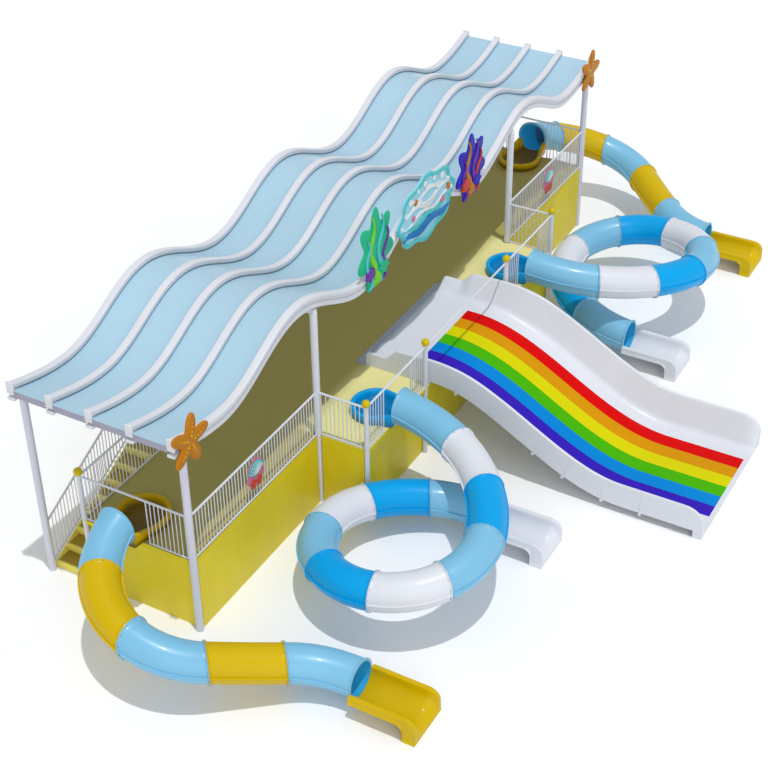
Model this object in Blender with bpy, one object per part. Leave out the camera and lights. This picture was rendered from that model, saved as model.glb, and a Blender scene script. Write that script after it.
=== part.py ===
"""Water slide tower: a roofed deck with a wide striped chute, two spiral tubes and two curved end tubes.

Run with: blender --background --python part.py
Units are metres, +Z is up, X runs along the tower and -Y is the side that the slides leave from.
"""

import math

import bmesh
import bpy
import numpy as np
from mathutils import Matrix, Vector

# Tower, measured on the centre lines of its posts
HALF_LENGTH = 9.144
DEPTH = 3.693
INNER_FRAME_X = 4.56
PLATFORM_DEPTH = 1.183
CHUTE_POST_X = 1.996
DECK_TOP = 1.8
DECK_THICKNESS = 0.1
DECK_OVERHANG = 0.03
WALL_THICKNESS = 0.06
ROOF_POST_RADIUS = 0.1
BALL_POST_RADIUS = 0.055
BALL_RADIUS = 0.09
INTO_POST = 0.025
SEAT_GAP = 0.0003

# The front of the chute and the back of the posts lie equally far from Y = 0
Y_SHIFT = 1.95
CHUTE_FRONT = -7.7
POST_BACK = DEPTH + ROOF_POST_RADIUS + 0.007

# Roof
CREST = 5.37
WAVE_DROP = 0.8
WAVE_LENGTH = 5.2
ROOF_END = 9.45
END_RISE = 0.32
RIB_COUNT = 5
RIB_DEPTH = 0.31
RIB_WIDTH = 0.16
RIB_STATIONS = 29
SHEET_THICKNESS = 0.02
SHEET_BELOW_CREST = 0.14
POST_TOP_AT_END = 4.353
POST_TOP_INSIDE = 4.815

# Railings
RAIL_HEIGHT = 1.1
RAIL_BAR = 0.02
RAIL_END_BAR = 0.045
RAIL_PITCH = 0.1
RAIL_TOP_BAND = 0.05
RAIL_FOOT_BAND = 0.04
RAIL_THICKNESS = 0.03

# Stairs
RISERS = 10
TREAD = 0.36
STAIR_FOOT_X = 9.04
STAIR_INNER_Y = 2.62
STAIR_WAIST = 0.16

# Tube slides
TUBE_RADIUS = 0.39
FLANGE_RADIUS = 0.42
TUBE_WALL = 0.025
FLANGE_LENGTH = 0.03
TUBE_SIDES = 12
OUTLET_Z = 0.56
SPIRAL_X = 3.28
SPIRAL_START_Y = -1.27
SPIRAL_INLET_Z = 2.14
SPIRAL_LEGS = [(4.22, 72.0), (3.35, 115.3), (3.46, 113.1), (2.84, 59.6)]
SPIRAL_JOINTS = [1.65 + 1.358 * joint for joint in range(9)]
SPIRAL_LENGTH = 13.87
SPIRAL_EASING = 1.06
END_SLIDE_START_X = -9.385
END_SLIDE_Y = 1.566
END_SLIDE_INLET_Z = 2.22
END_SLIDE_LEGS = [(3.914, -130.7), (1.45, 0), (1.48, 40.7)]
END_SLIDE_JOINTS = [1.072 + 1.443 * joint for joint in range(4)]
END_SLIDE_LENGTH = 6.844
END_SLIDE_EASING = 1.39

# Open troughs after the tubes, their sides folded over and down at the rim
TROUGH_FRONT = -5.14
TROUGH_FOOT_LENGTH = 0.27
TROUGH_HALF_WIDTH = 0.53
TROUGH_RIM_HALF = 0.43
TROUGH_INNER_HALF = 0.385
TROUGH_RIM_Z = 0.53
TROUGH_HEM_Z = 0.38
TROUGH_FLOOR_Z = 0.175
TROUGH_SHELL = 0.03

# Entry bowls
BOWL_RADIUS = 0.57
BOWL_NECK_HALF = 0.42
BOWL_RIM = 0.22
BOWL_NECK_RISE = 0.1
BOWL_FLOOR = 0.03
SPIRAL_BOWL_LENGTH = 1.16
END_BOWL_LENGTH = 1.38

# Chute
CHUTE_HALF_WIDTH = 1.88
CHUTE_FLOOR_TOP = 1.87
CHUTE_FLOOR_END = 0.05
CHUTE_BACK = 0.38
CHUTE_DROP_START = -0.85
CHUTE_DROP_LENGTH = 5.0
CHUTE_SHELL = 0.04
CHUTE_LOW_WALL = 0.28
CHUTE_MIDDLE_WALL = 0.55
CHUTE_HIGH_WALL = 0.7
CHUTE_SKIRT = 0.57
CHUTE_FOOT_LENGTH = 0.2

MATERIALS = {
    "white_steel": ((0.86, 0.86, 0.88), 0.35, 0.0),
    "grey_steel": ((0.62, 0.63, 0.68), 0.4, 0.0),
    "roof_sheet": ((0.6, 0.82, 0.92), 0.2, 0.0),
    "deck_yellow": ((0.85, 0.8, 0.5), 0.55, 0.0),
    "wall_yellow": ((0.75, 0.68, 0.12), 0.5, 0.0),
    "white_moulding": ((0.85, 0.86, 0.89), 0.25, 0.0),
    "lip_grey": ((0.5, 0.54, 0.64), 0.4, 0.0),
    "tube_blue": ((0.02, 0.47, 0.85), 0.2, 0.0),
    "tube_pale_blue": ((0.4, 0.72, 0.88), 0.2, 0.0),
    "tube_yellow": ((0.87, 0.7, 0.03), 0.2, 0.0),
    "sign_teal": ((0.25, 0.65, 0.8), 0.35, 0.0),
    "coral_green": ((0.1, 0.62, 0.4), 0.35, 0.0),
    "coral_purple": ((0.38, 0.14, 0.6), 0.35, 0.0),
    "star_orange": ((0.85, 0.38, 0.03), 0.4, 0.0),
    "plaque_pink": ((0.85, 0.35, 0.5), 0.4, 0.0),
}


def clear_scene():
    for obj in list(bpy.data.objects):
        bpy.data.objects.remove(obj, do_unlink=True)


def material(name):
    found = bpy.data.materials.get(name)
    if found:
        return found
    colour, roughness, metallic = MATERIALS[name]
    made = bpy.data.materials.new(name)
    made.use_nodes = True
    shader = made.node_tree.nodes["Principled BSDF"]
    shader.inputs["Base Color"].default_value = (*colour, 1.0)
    shader.inputs["Roughness"].default_value = roughness
    shader.inputs["Metallic"].default_value = metallic
    return made


def add_object(name, mesh):
    """Puts the mesh in the scene with its faces turned outwards."""
    work = bmesh.new()
    work.from_mesh(mesh)
    bmesh.ops.remove_doubles(work, verts=work.verts, dist=0.00002)
    bmesh.ops.recalc_face_normals(work, faces=work.faces)
    work.to_mesh(mesh)
    work.free()
    obj = bpy.data.objects.new(name, mesh)
    bpy.context.scene.collection.objects.link(obj)
    return obj


def finish(obj, material_name):
    """Gives a finished sub-part its material and its place in the shared frame."""
    obj.data.materials.clear()
    obj.data.materials.append(material(material_name))
    obj.location.y += Y_SHIFT
    return obj


def box(name, low, high):
    mesh = bpy.data.meshes.new(name)
    work = bmesh.new()
    bmesh.ops.create_cube(work, size=1.0)
    size = Vector(high) - Vector(low)
    middle = (Vector(high) + Vector(low)) / 2
    bmesh.ops.scale(work, vec=size, verts=work.verts)
    bmesh.ops.translate(work, vec=middle, verts=work.verts)
    work.to_mesh(mesh)
    work.free()
    return add_object(name, mesh)


def cylinder(name, foot, radius, height, sides=16, turn=None):
    """A cylinder on its foot point, standing up unless turn lays it down."""
    mesh = bpy.data.meshes.new(name)
    work = bmesh.new()
    bmesh.ops.create_cone(
        work, cap_ends=True, segments=sides, radius1=radius, radius2=radius, depth=height
    )
    bmesh.ops.translate(work, vec=(0, 0, height / 2), verts=work.verts)
    if turn is not None:
        bmesh.ops.transform(work, matrix=turn, verts=work.verts)
    bmesh.ops.translate(work, vec=foot, verts=work.verts)
    work.to_mesh(mesh)
    work.free()
    return add_object(name, mesh)


def plate(name, outlines, thickness, placing):
    """A flat plate from closed outlines, the first one its edge and the rest its holes."""
    curve = bpy.data.curves.new(name, "CURVE")
    curve.dimensions = "2D"
    curve.fill_mode = "BOTH"
    curve.extrude = thickness / 2
    for outline in outlines:
        spline = curve.splines.new("POLY")
        spline.points.add(len(outline) - 1)
        for point, (x, y) in zip(spline.points, outline):
            point.co = (x, y, 0, 1)
        spline.use_cyclic_u = True
    source = bpy.data.objects.new(name + "_outline", curve)
    bpy.context.scene.collection.objects.link(source)
    mesh = evaluated_mesh(source)
    bpy.data.objects.remove(source, do_unlink=True)
    mesh.transform(placing)
    return add_object(name, mesh)


def evaluated_mesh(obj):
    bpy.context.view_layer.update()
    graph = bpy.context.evaluated_depsgraph_get()
    return bpy.data.meshes.new_from_object(obj.evaluated_get(graph))


def combine(first, second, operation, slotted=False):
    """Applies an exact boolean to the first object and removes the second."""
    modifier = first.modifiers.new("combine", "BOOLEAN")
    modifier.operation = operation
    modifier.solver = "EXACT"
    modifier.use_self = slotted
    modifier.object = second
    mesh = evaluated_mesh(first)
    name = first.name
    bpy.data.objects.remove(first, do_unlink=True)
    bpy.data.objects.remove(second, do_unlink=True)
    return add_object(name, mesh)


def weld(first, *others, slotted=False):
    for other in others:
        first = combine(first, other, "UNION", slotted)
    return first


def cut(first, *others):
    for other in others:
        first = combine(first, other, "DIFFERENCE")
    return first


def upright_in_x(y):
    """Places a drawing so that its x runs along X and its y runs up, at this Y."""
    return Matrix.Translation((0, y, 0)) @ Matrix.Rotation(math.pi / 2, 4, "X")


def upright_in_y(x):
    """Places a drawing so that its x runs along Y and its y runs up, at this X."""
    turn = Matrix.Rotation(math.pi / 2, 4, "Z") @ Matrix.Rotation(math.pi / 2, 4, "X")
    return Matrix.Translation((x, 0, 0)) @ turn


def sweep(name, rings, ring_is_closed=True):
    """Joins equal rings of points into a closed solid with flat ends."""
    mesh = bpy.data.meshes.new(name)
    work = bmesh.new()
    rows = [[work.verts.new(point) for point in ring] for ring in rings]
    count = len(rows[0])
    for near, far in zip(rows, rows[1:]):
        for i in range(count):
            j = (i + 1) % count
            work.faces.new((near[i], near[j], far[j], far[i]))
    if ring_is_closed:
        work.faces.new(rows[0])
        work.faces.new(rows[-1])
    bmesh.ops.triangulate(work, faces=[f for f in work.faces if len(f.verts) > 4])
    work.to_mesh(mesh)
    work.free()
    return add_object(name, mesh)


def sides():
    """The two mirrored ends of the tower, as a name and the sign of X."""
    return (("left", -1), ("right", 1))


def wave_top(x):
    """Height of a rib's top over the tower's length."""
    middle = CREST - WAVE_DROP / 2
    last_trough = 1.5 * WAVE_LENGTH
    if abs(x) <= last_trough:
        return middle + WAVE_DROP / 2 * math.cos(2 * math.pi * x / WAVE_LENGTH)
    part = (abs(x) - last_trough) / (ROOF_END - last_trough)
    return CREST - WAVE_DROP + END_RISE * (1 - math.cos(part * math.pi / 2))


def rib_station_places():
    return np.linspace(-ROOF_END, ROOF_END, RIB_STATIONS)


def rib_top(x):
    """Height of the modelled rib's top, which is straight between its stations."""
    places = rib_station_places()
    return float(np.interp(x, places, [wave_top(p) for p in places]))


def rib_y(index):
    return DEPTH * index / (RIB_COUNT - 1)


def rib_outline():
    """The rib's section as (y, z below its top): a wide box, a thin web and a narrow tube."""
    half = [
        (RIB_WIDTH / 2, 0),
        (RIB_WIDTH / 2, -0.11),
        (0.03, -0.12),
        (0.03, -0.18),
        (0.055, -0.19),
        (0.055, -RIB_DEPTH),
    ]
    return half + [(-y, z) for y, z in reversed(half)]


def build_roof():
    outline = rib_outline()
    for index in range(RIB_COUNT):
        rings = []
        for x in rib_station_places():
            rings.append([(x, rib_y(index) + y, wave_top(x) + z) for y, z in outline])
        finish(sweep(f"roof_rib_{index + 1}", rings), "white_steel")
    for index in range(RIB_COUNT - 1):
        near = rib_y(index) + 0.03 + SEAT_GAP
        far = rib_y(index + 1) - 0.03 - SEAT_GAP
        rings = []
        for x in rib_station_places():
            top = wave_top(x) - SHEET_BELOW_CREST
            bottom = top - SHEET_THICKNESS
            rings.append([(x, near, bottom), (x, far, bottom), (x, far, top), (x, near, top)])
        finish(sweep(f"roof_sheet_{index + 1}", rings), "roof_sheet")


def lowest_rib_bottom(x, half_width):
    return min(rib_top(x - half_width), rib_top(x + half_width), rib_top(x)) - RIB_DEPTH


def build_frames():
    for side, sign in sides():
        for place, x, beam_foot, half_width, finish_name in (
            ("end", HALF_LENGTH, POST_TOP_AT_END, 0.08, "grey_steel"),
            ("inner", INNER_FRAME_X, POST_TOP_INSIDE, 0.06, "white_steel"),
        ):
            beam_top = lowest_rib_bottom(x, half_width) - SEAT_GAP
            beam = box(
                f"{place}_frame_{side}",
                (sign * x - half_width, -ROOF_POST_RADIUS, beam_foot),
                (sign * x + half_width, POST_BACK, beam_top),
            )
            height = beam_foot + 0.02
            front = cylinder("post", (sign * x, 0, 0), ROOF_POST_RADIUS, height)
            back = cylinder("post", (sign * x, DEPTH, 0), ROOF_POST_RADIUS, height)
            finish(weld(beam, front, back), finish_name)


def post_notch(x, y, radius):
    """A cutter for the deck's edge, its corners clear of the post's."""
    bottom = DECK_TOP - DECK_THICKNESS - 0.05
    return cylinder("notch", (x, y, bottom), radius + SEAT_GAP, 0.3)


def ball_post_notch(x, y):
    return post_notch(x, y, BALL_POST_RADIUS / math.cos(math.pi / 16))


def stair_head_x():
    return STAIR_FOOT_X - TREAD * (RISERS - 1)


def build_deck():
    edge = HALF_LENGTH + DECK_OVERHANG
    back = DEPTH + DECK_OVERHANG
    step = INNER_FRAME_X + DECK_OVERHANG
    front = -PLATFORM_DEPTH - DECK_OVERHANG
    half = [
        (step, front),
        (step, -DECK_OVERHANG),
        (edge, -DECK_OVERHANG),
        (edge, STAIR_INNER_Y),
        (stair_head_x(), STAIR_INNER_Y),
        (stair_head_x(), back),
    ]
    outline = half + [(-x, y) for x, y in reversed(half)]
    middle = DECK_TOP - DECK_THICKNESS / 2
    deck = plate("deck", [outline], DECK_THICKNESS, Matrix.Translation((0, 0, middle)))
    notches = []
    for _, sign in sides():
        notches.append(post_notch(sign * HALF_LENGTH, 0, ROOF_POST_RADIUS))
        notches.append(post_notch(sign * INNER_FRAME_X, 0, ROOF_POST_RADIUS))
        notches.append(post_notch(sign * INNER_FRAME_X, DEPTH, ROOF_POST_RADIUS))
        notches.append(ball_post_notch(sign * INNER_FRAME_X, -PLATFORM_DEPTH))
        notches.append(ball_post_notch(sign * CHUTE_POST_X, -PLATFORM_DEPTH))
        notches.append(ball_post_notch(sign * HALF_LENGTH, rail_corner_y()))
    finish(cut(deck, *notches), "deck_yellow")


def rail_corner_y():
    """Y of the railing between the stairwell and the deck."""
    return STAIR_INNER_Y - 0.03


def wall(name, low, high):
    return box(name, (*low, 0), (*high, DECK_TOP - DECK_THICKNESS - SEAT_GAP))


def build_walls():
    half_wall = WALL_THICKNESS / 2
    past_post = ROOF_POST_RADIUS + SEAT_GAP
    inset = BALL_POST_RADIUS + SEAT_GAP
    for side, sign in sides():
        ends = sorted((sign * (HALF_LENGTH - past_post), sign * (INNER_FRAME_X + past_post)))
        front = wall(f"front_wall_{side}", (ends[0], -half_wall), (ends[1], half_wall))
        finish(front, "wall_yellow")

        # One wall round the end: across it, beside the stair, under the stair's head, along the back
        outer_x = HALF_LENGTH - inset
        head_x = stair_head_x()
        back_y = DEPTH + half_wall
        runs = [
            ((outer_x - WALL_THICKNESS, past_post), (outer_x, STAIR_INNER_Y - 0.001)),
            ((head_x - 0.001, STAIR_INNER_Y - WALL_THICKNESS), (outer_x, STAIR_INNER_Y)),
            ((head_x - WALL_THICKNESS, STAIR_INNER_Y - WALL_THICKNESS), (head_x, back_y - 0.001)),
            ((INNER_FRAME_X + past_post, back_y - WALL_THICKNESS), (head_x, back_y)),
        ]
        parts = []
        for low, high in runs:
            ends = sorted((sign * low[0], sign * high[0]))
            parts.append(wall(f"end_wall_{side}", (ends[0], low[1]), (ends[1], high[1])))
        finish(weld(*parts), "wall_yellow")

    side_x = INNER_FRAME_X
    front_y = -PLATFORM_DEPTH + inset
    platform = wall("platform_wall", (-side_x, front_y), (side_x, front_y + WALL_THICKNESS))
    for _, sign in sides():
        low_x = sign * side_x - half_wall
        arm = wall("arm", (low_x, front_y), (low_x + WALL_THICKNESS, -past_post))
        platform = weld(platform, arm)
    finish(platform, "wall_yellow")

    back_x = INNER_FRAME_X - past_post
    back = wall("back_wall", (-back_x, DEPTH - half_wall), (back_x, DEPTH + half_wall))
    finish(back, "wall_yellow")


def build_stairs():
    rise = DECK_TOP / RISERS
    for side, sign in sides():
        outline = [(STAIR_FOOT_X, 0)]
        for step in range(1, RISERS):
            front = STAIR_FOOT_X - TREAD * (step - 1)
            outline.append((front, rise * step))
            outline.append((front - TREAD, rise * step))
        head = stair_head_x() + SEAT_GAP
        outline[-1] = (head, outline[-1][1])
        slope = rise / TREAD
        outline.append((head, DECK_TOP - rise - STAIR_WAIST - slope * 0.1))
        outline.append((STAIR_FOOT_X - 0.45, 0))
        width = DEPTH - RAIL_THICKNESS / 2 - SEAT_GAP - (STAIR_INNER_Y + SEAT_GAP)
        middle = STAIR_INNER_Y + SEAT_GAP + width / 2
        outline = [(sign * x, z) for x, z in outline]
        flight = plate(f"stair_{side}", [outline], width, upright_in_x(middle))
        finish(flight, "deck_yellow")


def bar_slots(start, end, low, high, slope=0.0):
    """Slots between upright bars, spread evenly from start to end."""
    count = max(1, round((end - start) / RAIL_PITCH))
    pitch = (end - start + RAIL_BAR) / count
    slots = []
    for index in range(count):
        left = start + pitch * index
        right = left + pitch - RAIL_BAR
        corners = [(left, low), (right, low), (right, high), (left, high)]
        slots.append([(x, z + slope * (x - start)) for x, z in corners])
    return slots


def level_panel(name, start, end, placing):
    """A straight railing panel on the deck, from start to end."""
    low = DECK_TOP + SEAT_GAP
    high = DECK_TOP + RAIL_HEIGHT
    edge = [(start, low), (end, low), (end, high), (start, high)]
    slots = bar_slots(
        start + RAIL_END_BAR, end - RAIL_END_BAR, low + RAIL_FOOT_BAND, high - RAIL_TOP_BAND
    )
    return plate(name, [edge, *slots], RAIL_THICKNESS, placing)


def gated_panel(name, start, end, gap_start, gap_end, placing):
    """A railing panel with a gap in its bars for a slide, its top rail running on over it."""
    low = DECK_TOP + SEAT_GAP
    high = DECK_TOP + RAIL_HEIGHT
    under = high - RAIL_TOP_BAND
    edge = [
        (start, low),
        (gap_start, low),
        (gap_start, under),
        (gap_end, under),
        (gap_end, low),
        (end, low),
        (end, high),
        (start, high),
    ]
    foot = low + RAIL_FOOT_BAND
    slots = bar_slots(start + RAIL_END_BAR, gap_start - RAIL_BAR, foot, under)
    slots += bar_slots(gap_end + RAIL_BAR, end - RAIL_END_BAR, foot, under)
    return plate(name, [edge, *slots], RAIL_THICKNESS, placing)


def ball_post(x, y):
    """A round post from the ground with a ball on top, turned about its own axis."""
    sides_round = 10
    centre = DECK_TOP + RAIL_HEIGHT + 0.08
    profile = [(BALL_POST_RADIUS, 0)]
    neck = -math.degrees(math.acos(BALL_POST_RADIUS / BALL_RADIUS))
    for degrees in (neck, -20, 15, 50, 80):
        angle = math.radians(degrees)
        radius = BALL_RADIUS * math.cos(angle)
        profile.append((radius, centre + BALL_RADIUS * math.sin(angle)))
    rings = []
    for radius, z in profile:
        ring = []
        for index in range(sides_round):
            angle = 2 * math.pi * index / sides_round
            ring.append((x + radius * math.cos(angle), y + radius * math.sin(angle), z))
        rings.append(ring)
    return sweep("ball_post", rings)


def build_railings():
    clear = ROOF_POST_RADIUS + SEAT_GAP
    for side, sign in sides():
        ends = sorted((sign * (HALF_LENGTH - clear), sign * (INNER_FRAME_X + clear)))
        front = level_panel(f"front_rail_{side}", ends[0], ends[1], upright_in_x(0))
        finish(front, "white_steel")

        # Platform corner: a side panel, a front panel with a gap for the tube, two ball posts
        corner_x = sign * INNER_FRAME_X
        arm = level_panel(
            f"platform_rail_{side}",
            -PLATFORM_DEPTH + INTO_POST,
            -clear,
            upright_in_y(corner_x),
        )
        ends = sorted((corner_x - sign * INTO_POST, sign * (CHUTE_POST_X + INTO_POST)))
        gap = sorted((sign * (SPIRAL_X + 0.55), sign * (SPIRAL_X - 0.6)))
        front = gated_panel("front", *ends, *gap, upright_in_x(-PLATFORM_DEPTH))
        panel = weld(
            arm,
            front,
            ball_post(corner_x, -PLATFORM_DEPTH),
            ball_post(sign * CHUTE_POST_X, -PLATFORM_DEPTH),
            slotted=True,
        )
        finish(panel, "white_steel")

        # End of the deck: a panel with a gap for the tube, a ball post and the stairwell's panel
        corner_y = rail_corner_y()
        end = gated_panel(
            f"end_rail_{side}",
            clear,
            corner_y - INTO_POST,
            END_SLIDE_Y - 0.55,
            END_SLIDE_Y + 0.55,
            upright_in_y(sign * HALF_LENGTH),
        )
        ends = sorted((sign * (HALF_LENGTH - INTO_POST), sign * stair_head_x()))
        well = level_panel("well", *ends, upright_in_x(corner_y))
        panel = weld(end, ball_post(sign * HALF_LENGTH, corner_y), well, slotted=True)
        finish(panel, "white_steel")

        finish(stair_rail(f"stair_rail_{side}", sign), "white_steel")

    inside = INNER_FRAME_X - clear
    back = level_panel("back_rail", -inside, inside, upright_in_x(DEPTH))
    finish(back, "white_steel")

    reach = CHUTE_POST_X - BALL_POST_RADIUS - SEAT_GAP
    turn = Matrix.Rotation(math.pi / 2, 4, "Y")
    start = (-reach, -PLATFORM_DEPTH, DECK_TOP + RAIL_HEIGHT - 0.025)
    bar = cylinder("chute_grab_bar", start, 0.022, 2 * reach, sides=10, turn=turn)
    finish(bar, "white_steel")


def stair_rail(name, sign):
    """The outer railing: it follows the stair, then runs level to the inner frame's post."""
    clear = ROOF_POST_RADIUS + SEAT_GAP
    foot_x = HALF_LENGTH - clear
    head_x = stair_head_x()
    level_end = INNER_FRAME_X + clear
    slope = DECK_TOP / RISERS / TREAD
    low = DECK_TOP + SEAT_GAP
    high = DECK_TOP + RAIL_HEIGHT
    fall = slope * (foot_x - head_x)
    edge = [
        (foot_x, low - fall),
        (foot_x, high - fall),
        (head_x, high),
        (level_end, high),
        (level_end, low),
        (head_x, low),
    ]
    slots = bar_slots(
        level_end + RAIL_BAR, head_x - RAIL_BAR, low + RAIL_FOOT_BAND, high - RAIL_TOP_BAND
    )
    slots += bar_slots(
        head_x, foot_x - RAIL_BAR, low + RAIL_FOOT_BAND, high - RAIL_TOP_BAND, -slope
    )
    outlines = [[(sign * x, z) for x, z in outline] for outline in [edge, *slots]]
    return plate(name, outlines, RAIL_THICKNESS, upright_in_x(DEPTH))


def walk(start, heading, legs, length):
    """Plan position and heading after this length of a route of straight and curved legs."""
    x, y = start
    left = length
    for leg, turn_degrees in [*legs, (99, 0)]:
        run = min(left, leg)
        bend = -math.radians(turn_degrees) / leg
        if abs(bend) < 1e-9:
            x += run * math.cos(heading)
            y += run * math.sin(heading)
        else:
            x += (math.sin(heading + bend * run) - math.sin(heading)) / bend
            y -= (math.cos(heading + bend * run) - math.cos(heading)) / bend
            heading += bend * run
        left -= run
        if left <= 0:
            break
    return x, y, heading


def spiral_point(length):
    """Centre and heading of the left spiral tube; the right one is its mirror image."""
    start = (-SPIRAL_X, SPIRAL_START_Y)
    x, y, heading = walk(start, -math.pi / 2, SPIRAL_LEGS, length)
    left = max(0.0, 1 - length / SPIRAL_LENGTH)
    z = OUTLET_Z + (SPIRAL_INLET_Z - OUTLET_Z) * left**SPIRAL_EASING
    return Vector((x, y, z)), heading


def end_slide_point(length):
    """Centre and heading of the left end tube; the right one is its mirror image."""
    start = (END_SLIDE_START_X, END_SLIDE_Y)
    x, y, heading = walk(start, math.pi, END_SLIDE_LEGS, length)
    left = max(0.0, 1 - length / END_SLIDE_LENGTH)
    z = OUTLET_Z + (END_SLIDE_INLET_Z - OUTLET_Z) * left**END_SLIDE_EASING
    return Vector((x, y, z)), heading


def tube_ring(route, length, radius, sign):
    """A ring of points in the upright plane across the tube."""
    centre, heading = route(length)
    ahead, _ = route(length + 0.05)
    behind, _ = route(max(0.0, length - 0.05))
    step = ahead - behind
    slope = math.atan2(abs(step.z), math.hypot(step.x, step.y))
    across = Vector((-math.sin(heading), math.cos(heading), 0))
    ring = []
    for index in range(TUBE_SIDES):
        angle = 2 * math.pi * index / TUBE_SIDES
        point = centre + across * radius * math.cos(angle)
        point.z += radius * math.sin(angle) / math.cos(slope)
        ring.append((sign * point.x, point.y, point.z))
    return ring


def tube(name, route, start, end, sign):
    """A hollow tube along a route with a flange at each end."""
    steps = max(2, round((end - start) / 0.45))
    stations = [
        (start, FLANGE_RADIUS),
        (start + FLANGE_LENGTH, FLANGE_RADIUS),
        (start + FLANGE_LENGTH + 0.005, TUBE_RADIUS),
    ]
    for index in range(1, steps):
        stations.append((start + (end - start) * index / steps, TUBE_RADIUS))
    stations.append((end - FLANGE_LENGTH - 0.005, TUBE_RADIUS))
    stations += [(end - FLANGE_LENGTH, FLANGE_RADIUS), (end, FLANGE_RADIUS)]

    mesh = bpy.data.meshes.new(name)
    work = bmesh.new()
    outer = [
        [work.verts.new(p) for p in tube_ring(route, length, radius, sign)]
        for length, radius in stations
    ]
    inner_places = [start] + [s for s, r in stations[1:-1] if r == TUBE_RADIUS] + [end]
    inner = [
        [work.verts.new(p) for p in tube_ring(route, length, TUBE_RADIUS - TUBE_WALL, sign)]
        for length in inner_places
    ]
    for rows in (outer, inner):
        for near, far in zip(rows, rows[1:]):
            for i in range(TUBE_SIDES):
                j = (i + 1) % TUBE_SIDES
                work.faces.new((near[i], near[j], far[j], far[i]))
    for near, far in ((outer[0], inner[0]), (outer[-1], inner[-1])):
        for i in range(TUBE_SIDES):
            j = (i + 1) % TUBE_SIDES
            work.faces.new((near[i], near[j], far[j], far[i]))
    work.to_mesh(mesh)
    work.free()
    return add_object(name, mesh)


def trough_section(x, y, rim, hem, floor, sign):
    """A closed section: a round channel whose sides fold over at the rim and hang to the hem."""
    shell = TROUGH_SHELL
    upper = [(TROUGH_HALF_WIDTH, hem), (TROUGH_HALF_WIDTH, rim - 0.035)]
    upper += [(TROUGH_HALF_WIDTH - 0.04, rim), (TROUGH_RIM_HALF, rim)]
    lower = [(TROUGH_HALF_WIDTH - shell, hem), (TROUGH_HALF_WIDTH - shell, rim - 0.05)]
    lower.append((TROUGH_RIM_HALF + 0.01, rim - 0.05))
    depth = rim - 0.025 - floor
    for degrees in (0, 22, 45, 67):
        angle = math.radians(degrees)
        drop = depth * math.sin(angle)
        upper.append((TROUGH_INNER_HALF * math.cos(angle), rim - 0.025 - drop))
    for degrees in (22, 45, 67):
        angle = math.radians(degrees)
        reach = (TROUGH_INNER_HALF + shell) * math.cos(angle)
        lower.append((reach, floor + depth - (depth + shell) * math.sin(angle)))
    upper.append((0.0, floor))
    lower.append((0.0, floor - shell))
    over = upper + [(-px, z) for px, z in reversed(upper[:-1])]
    under = [(-px, z) for px, z in lower] + [(px, z) for px, z in reversed(lower[:-1])]
    return [(sign * (x + px), y, z) for px, z in over + under]


def trough(name, x, start_y, sign):
    """The open run-out after a tube, its folded sides reaching the ground at the front."""
    front = TROUGH_FRONT
    foot = front + TROUGH_FOOT_LENGTH
    rim = TROUGH_RIM_Z
    hem = TROUGH_HEM_Z
    floor = TROUGH_FLOOR_Z
    stations = [
        (start_y, rim, hem, floor),
        (foot + 0.2, rim, hem, floor),
        (foot + 0.09, rim, hem - 0.06, floor),
        (foot + 0.02, rim, hem - 0.17, floor - 0.005),
        (foot, rim, 0.0, floor - 0.01),
        (front + 0.2, rim - 0.01, 0.0, floor - 0.02),
        (front + 0.11, rim - 0.05, 0.0, floor - 0.045),
        (front + 0.04, rim - 0.12, 0.0, floor - 0.09),
        (front, rim - 0.22, 0.0, TROUGH_SHELL + 0.005),
    ]
    return sweep(name, [trough_section(x, *station, sign) for station in stations])


def bowl_outline(length):
    """The bowl's plan as (x, y) from one neck corner round the back, y = 0 at the tube."""
    centre = length - BOWL_RADIUS
    half = [(BOWL_NECK_HALF, 0.0), (BOWL_NECK_HALF + 0.01, 0.12), (0.47, 0.3 * centre + 0.12)]
    half.append((0.53, 0.7 * centre))
    for degrees in (0, 18, 36, 54, 72):
        angle = math.radians(degrees)
        half.append((BOWL_RADIUS * math.cos(angle), centre + BOWL_RADIUS * math.sin(angle)))
    return half + [(0.0, length)] + [(-x, y) for x, y in reversed(half)]


def bowl(name, length, start, turn, sign):
    """The low open bowl on the deck that feeds a tube; local +Y runs back from the tube."""
    points = [Vector((x, y)) for x, y in bowl_outline(length)]
    floor = DECK_TOP + SEAT_GAP
    rings = []
    base_outline = []
    for index, point in enumerate(points):
        ahead = points[min(index + 1, len(points) - 1)]
        behind = points[max(index - 1, 0)]
        along = (ahead - behind).normalized()
        inward = Vector((-along.y, along.x))
        if index in (0, len(points) - 1):
            inward = Vector((-1 if point.x > 0 else 1, 0))
        rise = BOWL_RIM + BOWL_NECK_RISE * max(0.0, 1 - point.y / 0.3)
        ring = []
        for inset, z in ((0, 0), (0, rise), (0.08, rise), (0.17, BOWL_FLOOR), (0.17, 0)):
            place = point + inward * inset
            ring.append((place.x, place.y, floor + z))
        rings.append(ring)
        middle = point + inward * 0.1
        base_outline.append((middle.x, middle.y))
    wall_band = sweep("wall_band", rings)
    lift = Matrix.Translation((0, 0, floor + BOWL_FLOOR / 2))
    base = plate(name, [base_outline], BOWL_FLOOR, lift)
    made = weld(base, wall_band)
    made.data.transform(Matrix.Rotation(turn, 4, "Z"))
    made.data.transform(Matrix.Translation(start))
    if sign > 0:
        made.data.transform(Matrix.Scale(-1, 4, (1, 0, 0)))
        made.data.flip_normals()
    return made


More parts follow.
